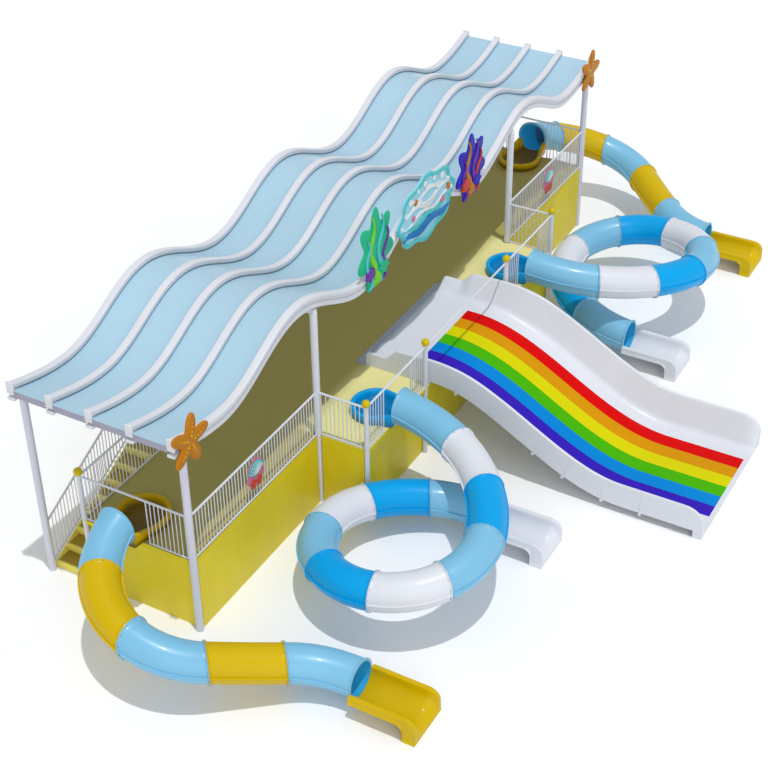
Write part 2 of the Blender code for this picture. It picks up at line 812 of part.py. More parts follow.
def build_tube_slides():
    for side, sign in sides():
        mirror = -sign
        breaks = [0.0, SPIRAL_JOINTS[2], SPIRAL_JOINTS[5], SPIRAL_LENGTH]
        for index in range(3):
            start = breaks[index] + (SEAT_GAP if index else 0.0)
            piece = tube(
                f"spiral_tube_{side}_{index + 1}",
                spiral_point,
                start,
                breaks[index + 1],
                mirror,
            )
            finish(piece, ("tube_pale_blue", "tube_blue", "white_moulding")[index])
        end, _ = spiral_point(SPIRAL_LENGTH)
        run_out = trough(f"spiral_trough_{side}", end.x, end.y - SEAT_GAP, mirror)
        finish(run_out, "white_moulding")
        place = (-SPIRAL_X, SPIRAL_START_Y + SEAT_GAP, 0)
        entry = bowl(f"spiral_bowl_{side}", SPIRAL_BOWL_LENGTH, place, 0, sign)
        finish(entry, "tube_blue")

        breaks = [0.0, END_SLIDE_JOINTS[1], END_SLIDE_LENGTH]
        for index in range(2):
            start = breaks[index] + (SEAT_GAP if index else 0.0)
            piece = tube(
                f"end_tube_{side}_{index + 1}",
                end_slide_point,
                start,
                breaks[index + 1],
                mirror,
            )
            finish(piece, ("tube_pale_blue", "tube_yellow")[index])
        end, _ = end_slide_point(END_SLIDE_LENGTH)
        run_out = trough(f"end_trough_{side}", end.x, end.y - SEAT_GAP, mirror)
        finish(run_out, "tube_yellow")
        place = (END_SLIDE_START_X + SEAT_GAP, END_SLIDE_Y, 0)
        entry = bowl(f"end_bowl_{side}", END_BOWL_LENGTH, place, -math.pi / 2, sign)
        finish(entry, "tube_yellow")


def chute_floor(y):
    """Height of the chute's floor: level, a smooth drop, then a run-out."""
    part = min(1.0, max(0.0, (CHUTE_DROP_START - y) / CHUTE_DROP_LENGTH))
    fall = CHUTE_FLOOR_TOP - CHUTE_FLOOR_END
    return CHUTE_FLOOR_END + fall * (1 + math.cos(math.pi * part)) / 2


def smooth_rise(y, start, end):
    """0 behind start, 1 in front of end and a smooth rise between them."""
    part = min(1.0, max(0.0, (start - y) / (start - end)))
    return (1 - math.cos(math.pi * part)) / 2


def chute_wall(y):
    """Height of the side walls over the floor: a low start, two rises and a rounded end."""
    height = CHUTE_LOW_WALL
    height += (CHUTE_MIDDLE_WALL - CHUTE_LOW_WALL) * smooth_rise(y, -0.1, -0.45)
    height += (CHUTE_HIGH_WALL - CHUTE_MIDDLE_WALL) * smooth_rise(y, -0.45, -2.2)
    near_end = min(1.0, max(0.0, (CHUTE_FRONT + 0.38 - y) / 0.38))
    return height * (1 - 0.5 * (1 - math.sqrt(1 - near_end**2)))


def chute_ring(y):
    """The chute's section square to its floor: a band from one skirt over both walls to the other."""
    floor = chute_floor(y)
    wall_height = chute_wall(y)
    slope = math.atan2(chute_floor(y + 0.01) - chute_floor(y - 0.01), 0.02)
    if y > -PLATFORM_DEPTH - DECK_OVERHANG - 0.02:
        skirt = (DECK_TOP + SEAT_GAP - floor) / math.cos(slope)
    elif y < CHUTE_FRONT + CHUTE_FOOT_LENGTH + 0.01:
        skirt = -floor
    else:
        skirt = wall_height - CHUTE_SKIRT
    w = CHUTE_HALF_WIDTH
    t = CHUTE_SHELL
    band = [
        (w, skirt),
        (w, wall_height),
        (w - 0.07, wall_height),
        (w - 0.33, 0.1 * wall_height),
        (w - 0.46, 0),
    ]
    under = [
        (w - 0.46, -t),
        (w - 0.33 + 0.03, 0.1 * wall_height - t),
        (w - 0.07 + 0.015, wall_height - t),
        (w - t, wall_height - t),
        (w - t, skirt),
    ]
    right = band
    left = [(-x, height) for x, height in reversed(band)]
    below = [(-x, height) for x, height in reversed(under)]
    lean = math.sin(slope)
    up = math.cos(slope)
    ring = right + left + below + under
    return [(x, y - height * lean, floor + height * up) for x, height in ring]


def build_chute():
    foot = CHUTE_FRONT + CHUTE_FOOT_LENGTH
    places = [CHUTE_BACK, -0.1, -0.22, -0.34, -0.45, -0.85, -1.1, -1.24]
    places += list(np.linspace(-1.6, -5.85, 12))
    places += [-6.6, foot + 0.18, foot + 0.02, foot, foot - 0.06, foot - 0.12]
    places += [CHUTE_FRONT + 0.03, CHUTE_FRONT]
    chute = sweep("chute", [chute_ring(y) for y in places])
    w = CHUTE_HALF_WIDTH
    foot = box(
        "foot",
        (-w + 0.01, CHUTE_FRONT + 0.01, 0),
        (w - 0.01, CHUTE_FRONT + 0.06, CHUTE_FLOOR_END - 0.01),
    )
    finish(weld(chute, foot), "white_moulding")
    low = DECK_TOP + SEAT_GAP
    near = CHUTE_BACK + SEAT_GAP
    wedge = [(near, low), (near + 0.26, low), (near + 0.26, low + 0.02), (near, low + 0.13)]
    ramp = plate("chute_entry_ramp", [wedge], 2 * w, upright_in_y(0))
    finish(ramp, "lip_grey")


def lobed(centre_x, centre_z, width, height, lobes, depth, points):
    """A closed outline with rounded lobes."""
    outline = []
    for index in range(points):
        angle = 2 * math.pi * index / points + math.pi / 2
        reach = 1 - depth * (1 - math.cos(lobes * (angle - math.pi / 2))) / 2
        x = centre_x + width / 2 * reach * math.cos(angle)
        outline.append((x, centre_z + height / 2 * reach * math.sin(angle)))
    return outline


def build_decorations():
    rib_front = -RIB_WIDTH / 2 - SEAT_GAP
    thickness = 0.08
    place = upright_in_x(rib_front - thickness / 2)
    board = lobed(0, 5.05, 2.7, 1.65, 8, 0.12, 48)
    finish(plate("sign_board", [board], thickness, place), "sign_teal")
    left = lobed(-2.2, 5.1, 1.5, 2.0, 7, 0.35, 42)
    finish(plate("coral_panel_left", [left], thickness, place), "coral_green")
    right = lobed(2.2, 5.0, 1.5, 1.7, 7, 0.35, 42)
    finish(plate("coral_panel_right", [right], thickness, place), "coral_purple")

    post_front = -ROOF_POST_RADIUS - SEAT_GAP
    rail_front = -RAIL_THICKNESS / 2 - SEAT_GAP
    for side, sign in sides():
        star = lobed(sign * 9.05, 4.66, 1.15, 1.15, 5, 0.55, 30)
        star_place = upright_in_x(post_front - 0.04)
        finish(plate(f"starfish_{side}", [star], 0.08, star_place), "star_orange")
        shell = lobed(sign * 6.95, 2.4, 0.62, 0.78, 7, 0.16, 42)
        shell_place = upright_in_x(rail_front - 0.02)
        finish(plate(f"shell_plaque_{side}", [shell], 0.04, shell_place), "plaque_pink")


def build():
    clear_scene()
    build_frames()
    build_roof()
    build_deck()
    build_walls()
    build_stairs()
    build_railings()
    build_tube_slides()
    build_chute()
    build_decorations()


build()
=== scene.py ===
"""Looks of the water slide tower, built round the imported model.

Units are metres in the model's own frame: X along the tower, -Y the side the slides leave from, Z up.
"""

from math import atan2, cos, hypot, pi, radians, sin, sqrt

import bmesh
import bpy
from mathutils import Matrix, Vector


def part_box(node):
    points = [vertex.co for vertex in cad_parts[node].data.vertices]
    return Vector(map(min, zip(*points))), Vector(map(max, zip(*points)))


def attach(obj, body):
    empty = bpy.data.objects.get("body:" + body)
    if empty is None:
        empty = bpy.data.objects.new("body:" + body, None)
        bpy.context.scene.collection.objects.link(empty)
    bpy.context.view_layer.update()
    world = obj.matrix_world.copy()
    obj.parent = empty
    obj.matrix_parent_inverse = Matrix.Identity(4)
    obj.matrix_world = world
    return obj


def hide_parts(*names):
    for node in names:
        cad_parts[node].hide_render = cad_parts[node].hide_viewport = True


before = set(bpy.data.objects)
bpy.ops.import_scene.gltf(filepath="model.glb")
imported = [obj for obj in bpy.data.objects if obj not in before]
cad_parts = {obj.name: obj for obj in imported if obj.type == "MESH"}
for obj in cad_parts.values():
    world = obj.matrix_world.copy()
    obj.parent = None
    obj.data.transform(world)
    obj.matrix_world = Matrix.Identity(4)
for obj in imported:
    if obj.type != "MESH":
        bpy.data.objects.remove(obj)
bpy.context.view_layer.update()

SIDES = (("left", -1), ("right", 1))

# Frames, with half the thickness that the model gives their posts
POST_RADIUS = 0.079
FRAME_HALF = 0.1
END_BEAM_HALF = 0.08
END_BEAM_FOOT = 4.47
INNER_BEAM_HALF = 0.06
INNER_BEAM_FOOT = 4.815

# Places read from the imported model
RAIL_HALF = 0.015
RAIL_INSET = 0.03
END_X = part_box("end_frame_right")[1].x - FRAME_HALF
INNER_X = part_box("inner_frame_right")[1].x - FRAME_HALF
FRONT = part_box("inner_frame_right")[0].y + FRAME_HALF
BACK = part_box("stair_rail_right")[1].y - RAIL_HALF
DECK_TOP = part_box("deck")[1].z
PLATFORM_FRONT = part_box("deck")[0].y + RAIL_INSET
RAIL_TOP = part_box("front_rail_right")[1].z

# Roof, as in the model
CREST = 5.37
WAVE_DROP = 0.8
WAVE_LENGTH = 5.2
ROOF_END = 9.45
END_RISE = 0.32
RIB_COUNT = 5
RIB_STEP = 0.1
RIB_CAP_HALF = 0.085
RIB_CAP_LENGTH = 0.05
RIB_YS = [FRONT + (BACK - FRONT) * index / (RIB_COUNT - 1) for index in range(RIB_COUNT)]
SHEET_CLEAR = 0.0303
SHEET_DROP = 0.14
SHEET_THICKNESS = 0.02
EAVE_DROP = SHEET_DROP + SHEET_THICKNESS

# Railings and stairs, as in the model
RAIL_PITCH = 0.1
RAIL_BAR = 0.02
RAIL_END_BAR = 0.045
RAIL_FOOT_BAND = 0.04
BAR_RADIUS = 0.011
END_BAR_RADIUS = 0.014
TOP_RAIL_RADIUS = 0.024
FOOT_RAIL_RADIUS = 0.018
BALL_POST_RADIUS = 0.055
BALL_RADIUS = 0.09
BALL_CENTRE = DECK_TOP + 1.18
POST_CLEAR = POST_RADIUS + 0.0003
INTO_POST = 0.025
CHUTE_POST_X = 1.996
RISERS = 10
RISE = DECK_TOP / RISERS
TREAD = 0.36
STAIR_FOOT_X = 9.04
STAIR_HEAD_X = STAIR_FOOT_X - TREAD * (RISERS - 1)
STAIR_PLATE = 0.014
KERB_INSET = 0.012
KERB_WIDTH = 0.04
WELL_Y = FRONT + 2.62 - RAIL_INSET

# Tube slides, as in the model; legs are pairs of length and turn in degrees
TUBE_RADIUS = 0.39
TUBE_INSIDE = 0.365
FLANGE_RADIUS = 0.42
FLANGE_LENGTH = 0.02
JOINT_GAP = 0.0015
JOINT_BOLTS = 12
LIP_REACH = 0.033
LIP_HALF = 0.011
TUBE_POINTS = 48
TUBE_STEP = 0.065
MOUTH_DEPTH = 0.6
MOUTH_SETBACK = 0.004
OUTLET_Z = 0.56
SPIRAL_X = 3.28
SPIRAL_START_Y = FRONT - 1.27
SPIRAL_INLET_Z = 2.14
SPIRAL_LEGS = [(4.22, 72.0), (3.35, 115.3), (3.46, 113.1), (2.84, 59.6)]
SPIRAL_JOINTS = [1.65 + 1.358 * joint for joint in range(9)]
SPIRAL_LENGTH = 13.87
SPIRAL_EASING = 1.06
END_SLIDE_START_X = -9.385
END_SLIDE_Y = FRONT + 1.566
END_SLIDE_INLET_Z = 2.22
END_SLIDE_LEGS = [(3.914, -130.7), (1.45, 0), (1.48, 40.7)]
END_SLIDE_JOINTS = [1.072 + 1.443 * joint for joint in range(4)]
END_SLIDE_LENGTH = 6.844
END_SLIDE_EASING = 1.39

# Troughs and bowls, as in the model
TROUGH_FRONT = FRONT - 5.14
TROUGH_FOOT_BACK = TROUGH_FRONT + 0.27
TROUGH_HALF = 0.53
TROUGH_INNER_HALF = 0.385
TROUGH_WIDENING = 0.045
TROUGH_SKIN = 0.02
TROUGH_ROLL = 0.04
TROUGH_RIM_Z = 0.53
TROUGH_RIM_FALL = 0.22
TROUGH_HEM_Z = 0.38
TROUGH_FLOOR_Z = 0.175
FOOT_BEND = 0.15
FRONT_BEND = 0.24
BOWL_RADIUS = 0.57
BOWL_NECK_HALF = 0.42
BOWL_NECK_LENGTH = 0.45
BOWL_RIM = 0.22
BOWL_NECK_RISE = 0.1
BOWL_FLOOR = 0.03
SPIRAL_BOWL_LENGTH = 1.16
END_BOWL_LENGTH = 1.38

# Chute, as in the model; banks are measured in from its side
CHUTE_HALF = 1.88
CHUTE_BACK = FRONT + 0.38
CHUTE_FRONT = FRONT - 7.7
CHUTE_LOW_WALL = 0.28
CHUTE_MIDDLE_WALL = 0.55
CHUTE_HIGH_WALL = 0.7
WALL_RISE_START = FRONT - 0.45
WALL_RISE_END = FRONT - 2.2
WALL_NOSE = 0.07
WALL_END = 0.45
WALL_WIDTH = 0.07
BANK_TOP = 0.33
BANK_FOOT = 0.46
FLOOR_EDGE = 0.7
CHUTE_SKIRT = 0.57
CHUTE_FLOOR_TOP = 1.87
CHUTE_FLOOR_END = 0.05
CHUTE_FOOT = 0.2
DROP_START = FRONT - 0.85
DROP_LENGTH = 5.0
CHUTE_SHELL = 0.03
CHUTE_JOINTS = [FRONT - 1.84, FRONT - 3.72, FRONT - 4.45, FRONT - 5.4, FRONT - 6.3]
CHUTE_GROOVES = [FRONT - 0.48, *CHUTE_JOINTS]
GROOVE_DEPTH = 0.004
STRIPE_HALF = 1.125
STRIPE_START = FRONT - 0.64
STRIPE_END = FRONT - 7.6

# Boards on the front rib
BOARD_BACK = FRONT - 0.0803
BOARD_FRONT = BOARD_BACK - 0.08
SIGN_Z = 5.05
STARFISH_Z = 4.66

# Photograph
IMAGE_SIDE = 768
FOCAL_PIXELS = 1573.54
SENSOR = 36.0
CAMERA_PLACE = (-26.844, -12.446, 21.873)
CAMERA_AZIMUTH = -60.16
CAMERA_ELEVATION = 35.384
CAMERA_ROLL = -0.706

# Colours; a moulding's comes with its shine
GRIME = (0.42, 0.4, 0.36)
WALL_COLOUR = (0.73, 0.59, 0.012)
DECK_COLOUR = (0.8, 0.73, 0.32)
# Deck colour with the roof's shade painted in, used under the roof and beyond the inner frames
DECK_PAINTED_SHADE = (0.44, 0.36, 0.1)
STEEL_PAINTS = {
    "white_steel": (0.67, 0.68, 0.72),
    "grey_steel": (0.62, 0.63, 0.71),
    "beam_grey": (0.33, 0.32, 0.41),
    "bolt_steel": (0.2, 0.22, 0.25),
}
MOULDINGS = {
    "white_moulding": ((0.67, 0.69, 0.74), 0.3),
    "tube_pale_blue": ((0.19, 0.475, 0.68), 0.35),
    "tube_blue": ((0.0, 0.34, 0.74), 0.15),
    "tube_yellow": ((0.6, 0.41, 0.0), 0.15),
    "ball_yellow": ((0.6, 0.46, 0.0), 0.15),
}
BOARD_PAINTS = {
    "sign_teal": (0.3, 0.6, 0.72),
    "coral_green": (0.0, 0.42, 0.2),
    "coral_purple": (0.014, 0.008, 0.4),
    "star_orange": (0.46, 0.165, 0.0),
    "plaque_pink": (0.58, 0.16, 0.27),
    "board_white": (0.66, 0.7, 0.72),
    "board_blue": (0.01, 0.17, 0.46),
    "board_aqua": (0.07, 0.48, 0.48),
    "board_violet": (0.13, 0.025, 0.33),
    "board_lime": (0.16, 0.58, 0.02),
    "board_red": (0.56, 0.05, 0.016),
}
STRIPES = {
    "indigo": (0.035, 0.012, 0.44),
    "blue": (0.0, 0.22, 0.62),
    "green": (0.06, 0.42, 0.0),
    "yellow": (0.64, 0.6, 0.0),
    "orange": (0.62, 0.27, 0.0),
    "red": (0.64, 0.0, 0.0),
}


# Materials

MATERIALS = {}


def new_material(name):
    made = bpy.data.materials.new(name)
    made.use_nodes = True
    MATERIALS[name] = made
    return made.node_tree, made.node_tree.nodes["Principled BSDF"]


def add_node(tree, kind, output, inputs):
    """A new shader node's output, its inputs linked to other outputs or set to values."""
    node = tree.nodes.new(kind)
    for name, value in inputs.items():
        if isinstance(value, bpy.types.NodeSocket):
            tree.links.new(value, node.inputs[name])
        else:
            node.inputs[name].default_value = value
    return node.outputs[output]


def object_axis(tree, axis):
    """The place along an axis in the object's own metres."""
    place = add_node(tree, "ShaderNodeTexCoord", "Object", {})
    return add_node(tree, "ShaderNodeSeparateXYZ", axis, {"Vector": place})


def noise(tree, scale, detail=3.0, stretch=(1, 1, 1)):
    """Noise in the object's own metres, drawn out along an axis by stretch."""
    place = add_node(tree, "ShaderNodeTexCoord", "Object", {})
    place = add_node(tree, "ShaderNodeMapping", "Vector", {"Vector": place, "Scale": stretch})
    return add_node(tree, "ShaderNodeTexNoise", "Fac", {"Vector": place, "Scale": scale, "Detail": detail})


def map_range(tree, value, low, high, to_low, to_high):
    return add_node(tree, "ShaderNodeMapRange", "Result", {
        "Value": value, "From Min": low, "From Max": high, "To Min": to_low, "To Max": to_high,
    })


def mix_colour(tree, factor, first, second):
    node = tree.nodes.new("ShaderNodeMix")
    node.data_type = "RGBA"
    tree.links.new(factor, node.inputs["Factor"])
    for socket, value in ((node.inputs["A"], first), (node.inputs["B"], second)):
        if isinstance(value, tuple):
            socket.default_value = (*value, 1.0)
        else:
            tree.links.new(value, socket)
    return node.outputs["Result"]


def blend_base(tree, shader, axis, low, high, at_low, at_high, colour):
    """Mixes a colour into the base, its share going from at_low to at_high along an axis."""
    base = shader.inputs["Base Color"]
    share = map_range(tree, object_axis(tree, axis), low, high, at_low, at_high)
    tree.links.new(mix_colour(tree, share, base.links[0].from_socket, colour), base)


def shade(colour, factor):
    return tuple(min(1.0, part * factor) for part in colour)


def coated(name, colour, roughness, patches=0.06, grain=0.0015, grain_scale=90.0, coat=0.0,
           grime=0.0, stretch=(1, 1, 1), patch_scale=0.8, shine=0.15):
    """A painted or moulded surface: soft patches of tone, a fine skin, and grime towards the ground."""
    tree, shader = new_material(name)
    wide = map_range(tree, noise(tree, patch_scale, 4.0, stretch), 0.3, 0.7, 0.0, 1.0)
    tone = mix_colour(tree, wide, shade(colour, 1 - patches), shade(colour, 1 + patches))
    fine = noise(tree, 7.0, 6.0)
    specks = map_range(tree, fine, 0.62, 0.85, 0.0, 0.35)
    tree.links.new(mix_colour(tree, specks, tone, shade(colour, 0.82)), shader.inputs["Base Color"])
    if grime:
        blend_base(tree, shader, "Z", 0.02, 0.7, grime, 0.0, GRIME)
    rough = map_range(tree, fine, 0.25, 0.75, roughness - 0.05, roughness + 0.08)
    tree.links.new(rough, shader.inputs["Roughness"])
    skin = noise(tree, grain_scale, 2.0)
    bump = add_node(tree, "ShaderNodeBump", "Normal", {"Strength": 0.35, "Distance": grain, "Height": skin})
    tree.links.new(bump, shader.inputs["Normal"])
    shader.inputs["Specular IOR Level"].default_value = shine
    if coat:
        shader.inputs["Coat Weight"].default_value = coat
        shader.inputs["Coat Roughness"].default_value = 0.08
    return tree, shader


def moulding(name, colour, shine=0.15):
    """Glass fibre with a gel skin: slight waviness and a soft sheen."""
    return coated(name, colour, 0.33, patches=0.03, grain=0.003, grain_scale=9.0, coat=0.08,
                  patch_scale=0.6, shine=shine)


def bowl_paint(name, colour, dish_painted_shade):
    """A moulding with painted shade in its dish, so it is darker there than on its rim."""
    blend_base(*moulding(name, colour), "Z", DECK_TOP + 0.06, DECK_TOP + 0.17, 1.0, 0.0, dish_painted_shade)


def painted_glow_inside(name, colour, glow):
    """The inside of a tube, with a painted glow that stands in for daylight through the thin wall."""
    _, shader = moulding(name, colour)
    shader.inputs["Emission Color"].default_value = (*glow, 1.0)
    shader.inputs["Emission Strength"].default_value = 1.0


def deck_paint(name):
    """Pale yellow on the platform with painted shade, darker under the roof and beyond the inner frames,
    and the walls' yellow on the edges.
    """
    tree, shader = coated(name, DECK_COLOUR, 0.55, patches=0.05, grain=0.002, grain_scale=220.0)
    # Painted shade of the roof: darker behind the platform's front and beyond the inner frames
    for axis, low, high in (("Y", FRONT + 0.2, FRONT + 0.6), ("X", -INNER_X, -(INNER_X + 0.1)),
                            ("X", INNER_X, INNER_X + 0.1)):
        blend_base(tree, shader, axis, low, high, 0.0, 1.0, DECK_PAINTED_SHADE)
    blend_base(tree, shader, "Z", DECK_TOP - 0.006, DECK_TOP - 0.002, 1.0, 0.0, WALL_COLOUR)


def build_materials():
    deck_paint("deck_yellow")
    # Painted shade: the treads are darker than the risers, kerbs and side plates, as the roof shades them
    coated("stair_tread_painted_shade", (0.4, 0.28, 0.03), 0.55, grain_scale=220.0)
    coated("stair_riser", (0.85, 0.74, 0.14), 0.5, patches=0.05, grain_scale=220.0)
    coated("roof_sheet", (0.39, 0.58, 0.7), 0.3, patches=0.05, grain=0.004, grain_scale=1.6, coat=0.2,
           patch_scale=0.22, shine=0.25)
    coated("wall_yellow", WALL_COLOUR, 0.45, patches=0.1, grain=0.002, grain_scale=12.0, coat=0.06,
           stretch=(1, 1, 0.3), grime=0.1, shine=0.2)
    coated("lip_grey", (0.36, 0.39, 0.48), 0.4, patches=0.08, coat=0.15, shine=0.3)
    for name, colour in STEEL_PAINTS.items():
        coated(name, colour, 0.38, patches=0.025, grain=0.0006, grain_scale=160.0, grime=0.15, shine=0.3)
    for name, colour in BOARD_PAINTS.items():
        coated(name, colour, 0.4, patches=0.08, grain=0.002, grain_scale=30.0, coat=0.06)
    for name, (colour, shine) in MOULDINGS.items():
        moulding(name, colour, shine)
    for name, colour in STRIPES.items():
        moulding("stripe_" + name, colour, 0.04)
    # The bowls' second colours are painted shade in their dishes
    bowl_paint("bowl_blue", (0.0, 0.33, 0.72), (0.0, 0.2, 0.46))
    bowl_paint("bowl_yellow", (0.55, 0.34, 0.0), (0.17, 0.095, 0.0))
    # A painted glow for the skins inside the tubes' mouths
    painted_glow_inside("inside_pale_blue_painted_glow", (0.03, 0.32, 0.56), (0.003, 0.06, 0.12))


# Mesh building

def new_object(name, data):
    made = bpy.data.objects.new(name, data)
    bpy.context.scene.collection.objects.link(made)
    return made


def piece(name, work, material_name, nodes=(), sharp=40):
    """Turns a bmesh into a shown piece that stands for these nodes of the model."""
    bmesh.ops.recalc_face_normals(work, faces=work.faces)
    mesh = bpy.data.meshes.new(name)
    work.to_mesh(mesh)
    work.free()
    mesh.polygons.foreach_set("use_smooth", [True] * len(mesh.polygons))
    mesh.set_sharp_from_angle(angle=radians(sharp))
    mesh.materials.append(MATERIALS[material_name])
    obj = new_object(name, mesh)
    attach(obj, "root")
    if nodes:
        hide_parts(*nodes)


def dress(node, work, slot="white_steel", material_name=None, sharp=40):
    """Turns a bmesh into the one piece that stands for this node, in its slot's material or another."""
    piece(f"{node}_dressed", work, material_name or slot, [node], sharp)


def sweep(work, rings, looped=False):
    """Joins equal closed rings into one closed body, with flat ends or joined end to end."""
    rows = [[work.verts.new(point) for point in ring] for ring in rings]
    pairs = list(zip(rows, rows[1:]))
    if looped:
        pairs.append((rows[-1], rows[0]))
    else:
        work.faces.new(rows[0])
        work.faces.new(rows[-1])
    count = len(rows[0])
    for near, far in pairs:
        for i in range(count):
            j = (i + 1) % count
            work.faces.new((near[i], near[j], far[j], far[i]))


def turned(work, centre, profile, points):
    """A solid of revolution round an upright axis, from (radius, height) pairs, with flat ends."""
    angles = [2 * pi * index / points for index in range(points)]
    sweep(work, [
        [Vector(centre) + Vector((radius * cos(a), radius * sin(a), height)) for a in angles]
        for radius, height in profile
    ])


def rod(work, start, end, radius, points=10):
    """A round bar between two points."""
    start, end = Vector(start), Vector(end)
    turn = (end - start).to_track_quat("Z", "Y").to_matrix().to_4x4()
    place = Matrix.Translation((start + end) / 2) @ turn
    bmesh.ops.create_cone(
        work, cap_ends=True, segments=points, radius1=radius, radius2=radius,
        depth=(end - start).length, matrix=place,
    )


def ball(work, centre, radius, around, up):
    bmesh.ops.create_uvsphere(
        work, u_segments=around, v_segments=up, radius=radius, matrix=Matrix.Translation(centre)
    )


def block(work, xs, ys, zs, edge=0.004, turn=None):
    """A box between two values on each axis, in any order, with its edges rounded off."""
    low = Vector([min(pair) for pair in (xs, ys, zs)])
    high = Vector([max(pair) for pair in (xs, ys, zs)])
    place = Matrix.Translation((low + high) / 2)
    if turn is not None:
        place = place @ turn
    made = bmesh.ops.create_cube(work, size=1.0, matrix=place @ Matrix.Diagonal((*(high - low), 1)))
    edges = {e for v in made["verts"] for e in v.link_edges}
    bmesh.ops.bevel(work, geom=list(edges), offset=edge, segments=2, affect="EDGES", profile=0.5)


def fillet(points, radii, steps=4, closed=False):
    """Rounds the corners of a path, each by its own radius; 0 keeps a corner sharp."""
    rounded = []
    count = len(points)
    for index, (point, radius) in enumerate(zip(points, radii)):
        corner = Vector(point)
        is_end = not closed and index in (0, count - 1)
        if radius == 0 or is_end:
            rounded.append(corner)
            continue
        before = Vector(points[index - 1]) - corner
        after = Vector(points[(index + 1) % count]) - corner
        reach = min(radius, 0.48 * before.length, 0.48 * after.length)
        start = corner + before.normalized() * reach
        end = corner + after.normalized() * reach
        for step in range(steps + 1):
            t = step / steps
            rounded.append(start * (1 - t) ** 2 + corner * 2 * t * (1 - t) + end * t**2)
    return rounded


def mirrored(points):
    """The same points of a section on its other side, in reverse order."""
    return [Vector((-p.x, p.y)) for p in reversed(points)]


def spread(start, end, step):
    """Evenly spaced values from start to end, about a step apart."""
    count = max(1, round(abs(end - start) / step))
    return [start + (end - start) * index / count for index in range(count + 1)]


def span(sign, near, far):
    """Two distances on one side of the middle, in rising order."""
    return sorted((sign * near, sign * far))


def clamped(value):
    return min(1.0, max(0.0, value))


def quarter_drop(part):
    """How far a quarter circle of radius 1 has fallen after this part of its run."""
    return 1 - sqrt(1 - part**2)


# Roof

def wave_top(x):
    """Height of the ribs' tops: even waves, then a soft rise to the roof's end."""
    middle = CREST - WAVE_DROP / 2
    last_trough = 1.5 * WAVE_LENGTH
    if abs(x) <= last_trough:
        return middle + WAVE_DROP / 2 * cos(2 * pi * x / WAVE_LENGTH)
    part = (abs(x) - last_trough) / (ROOF_END - last_trough)
    return CREST - WAVE_DROP + END_RISE * (1 - cos(part * pi / 2))


def rib_outline():
    """The rib's section: a rounded box on top, a web and a rounded tube below."""
    half = [(0.08, 0), (0.08, -0.11), (0.025, -0.12), (0.025, -0.18), (0.055, -0.19), (0.055, -0.31)]
    radii = [0.028, 0.028, 0.01, 0.01, 0.02, 0.03]
    points = half + [(-y, z) for y, z in reversed(half)]
    return fillet(points, radii + radii[::-1], closed=True)


def build_roof():
    outline = rib_outline()
    end_top = wave_top(ROOF_END)
    stations = spread(-ROOF_END + 0.03, ROOF_END - 0.03, RIB_STEP)
    for number, y in enumerate(RIB_YS, 1):
        work = bmesh.new()
        rings = []
        for x in stations:
            # The lower tube closes up to the upper one at the roof's ends
            lift = 0.06 * clamped((abs(x) - ROOF_END + 0.6) / 0.5)
            rings.append([(x, y + p.x, wave_top(x) + p.y + (lift if p.y < -0.17 else 0)) for p in outline])
        sweep(work, rings)
        for sign in (-1, 1):
            block(work, (sign * (ROOF_END - RIB_CAP_LENGTH), sign * ROOF_END),
                  (y - RIB_CAP_HALF, y + RIB_CAP_HALF), (end_top - 0.262, end_top + 0.004), 0.01)
        dress(f"roof_rib_{number}", work)
    stations = spread(-ROOF_END + 0.005, ROOF_END - 0.005, RIB_STEP)
    for number, (near, far) in enumerate(zip(RIB_YS, RIB_YS[1:]), 1):
        sheet = [(near + SHEET_CLEAR, -SHEET_THICKNESS), (far - SHEET_CLEAR, -SHEET_THICKNESS),
                 (far - SHEET_CLEAR, 0), (near + SHEET_CLEAR, 0)]
        # Sealing strips along the ribs
        strips = [
            [(y - 0.025, -0.004), (y + 0.025, -0.004), (y + 0.018, 0.006), (y - 0.018, 0.006)]
            for y in (near + 0.1, far - 0.1)
        ]
        work = bmesh.new()
        for section in (sheet, *strips):
            sweep(work, [[(x, y, wave_top(x) - SHEET_DROP + up) for y, up in section] for x in stations])
        dress(f"roof_sheet_{number}", work, "roof_sheet")


# Frames

def round_posts(work, x, top):
    """A frame's front and back posts, their feet a little eased."""
    profile = [(POST_RADIUS - 0.004, 0), (POST_RADIUS, 0.004), (POST_RADIUS, top)]
    for y in (FRONT, BACK):
        turned(work, (x, y, 0), profile, 32)


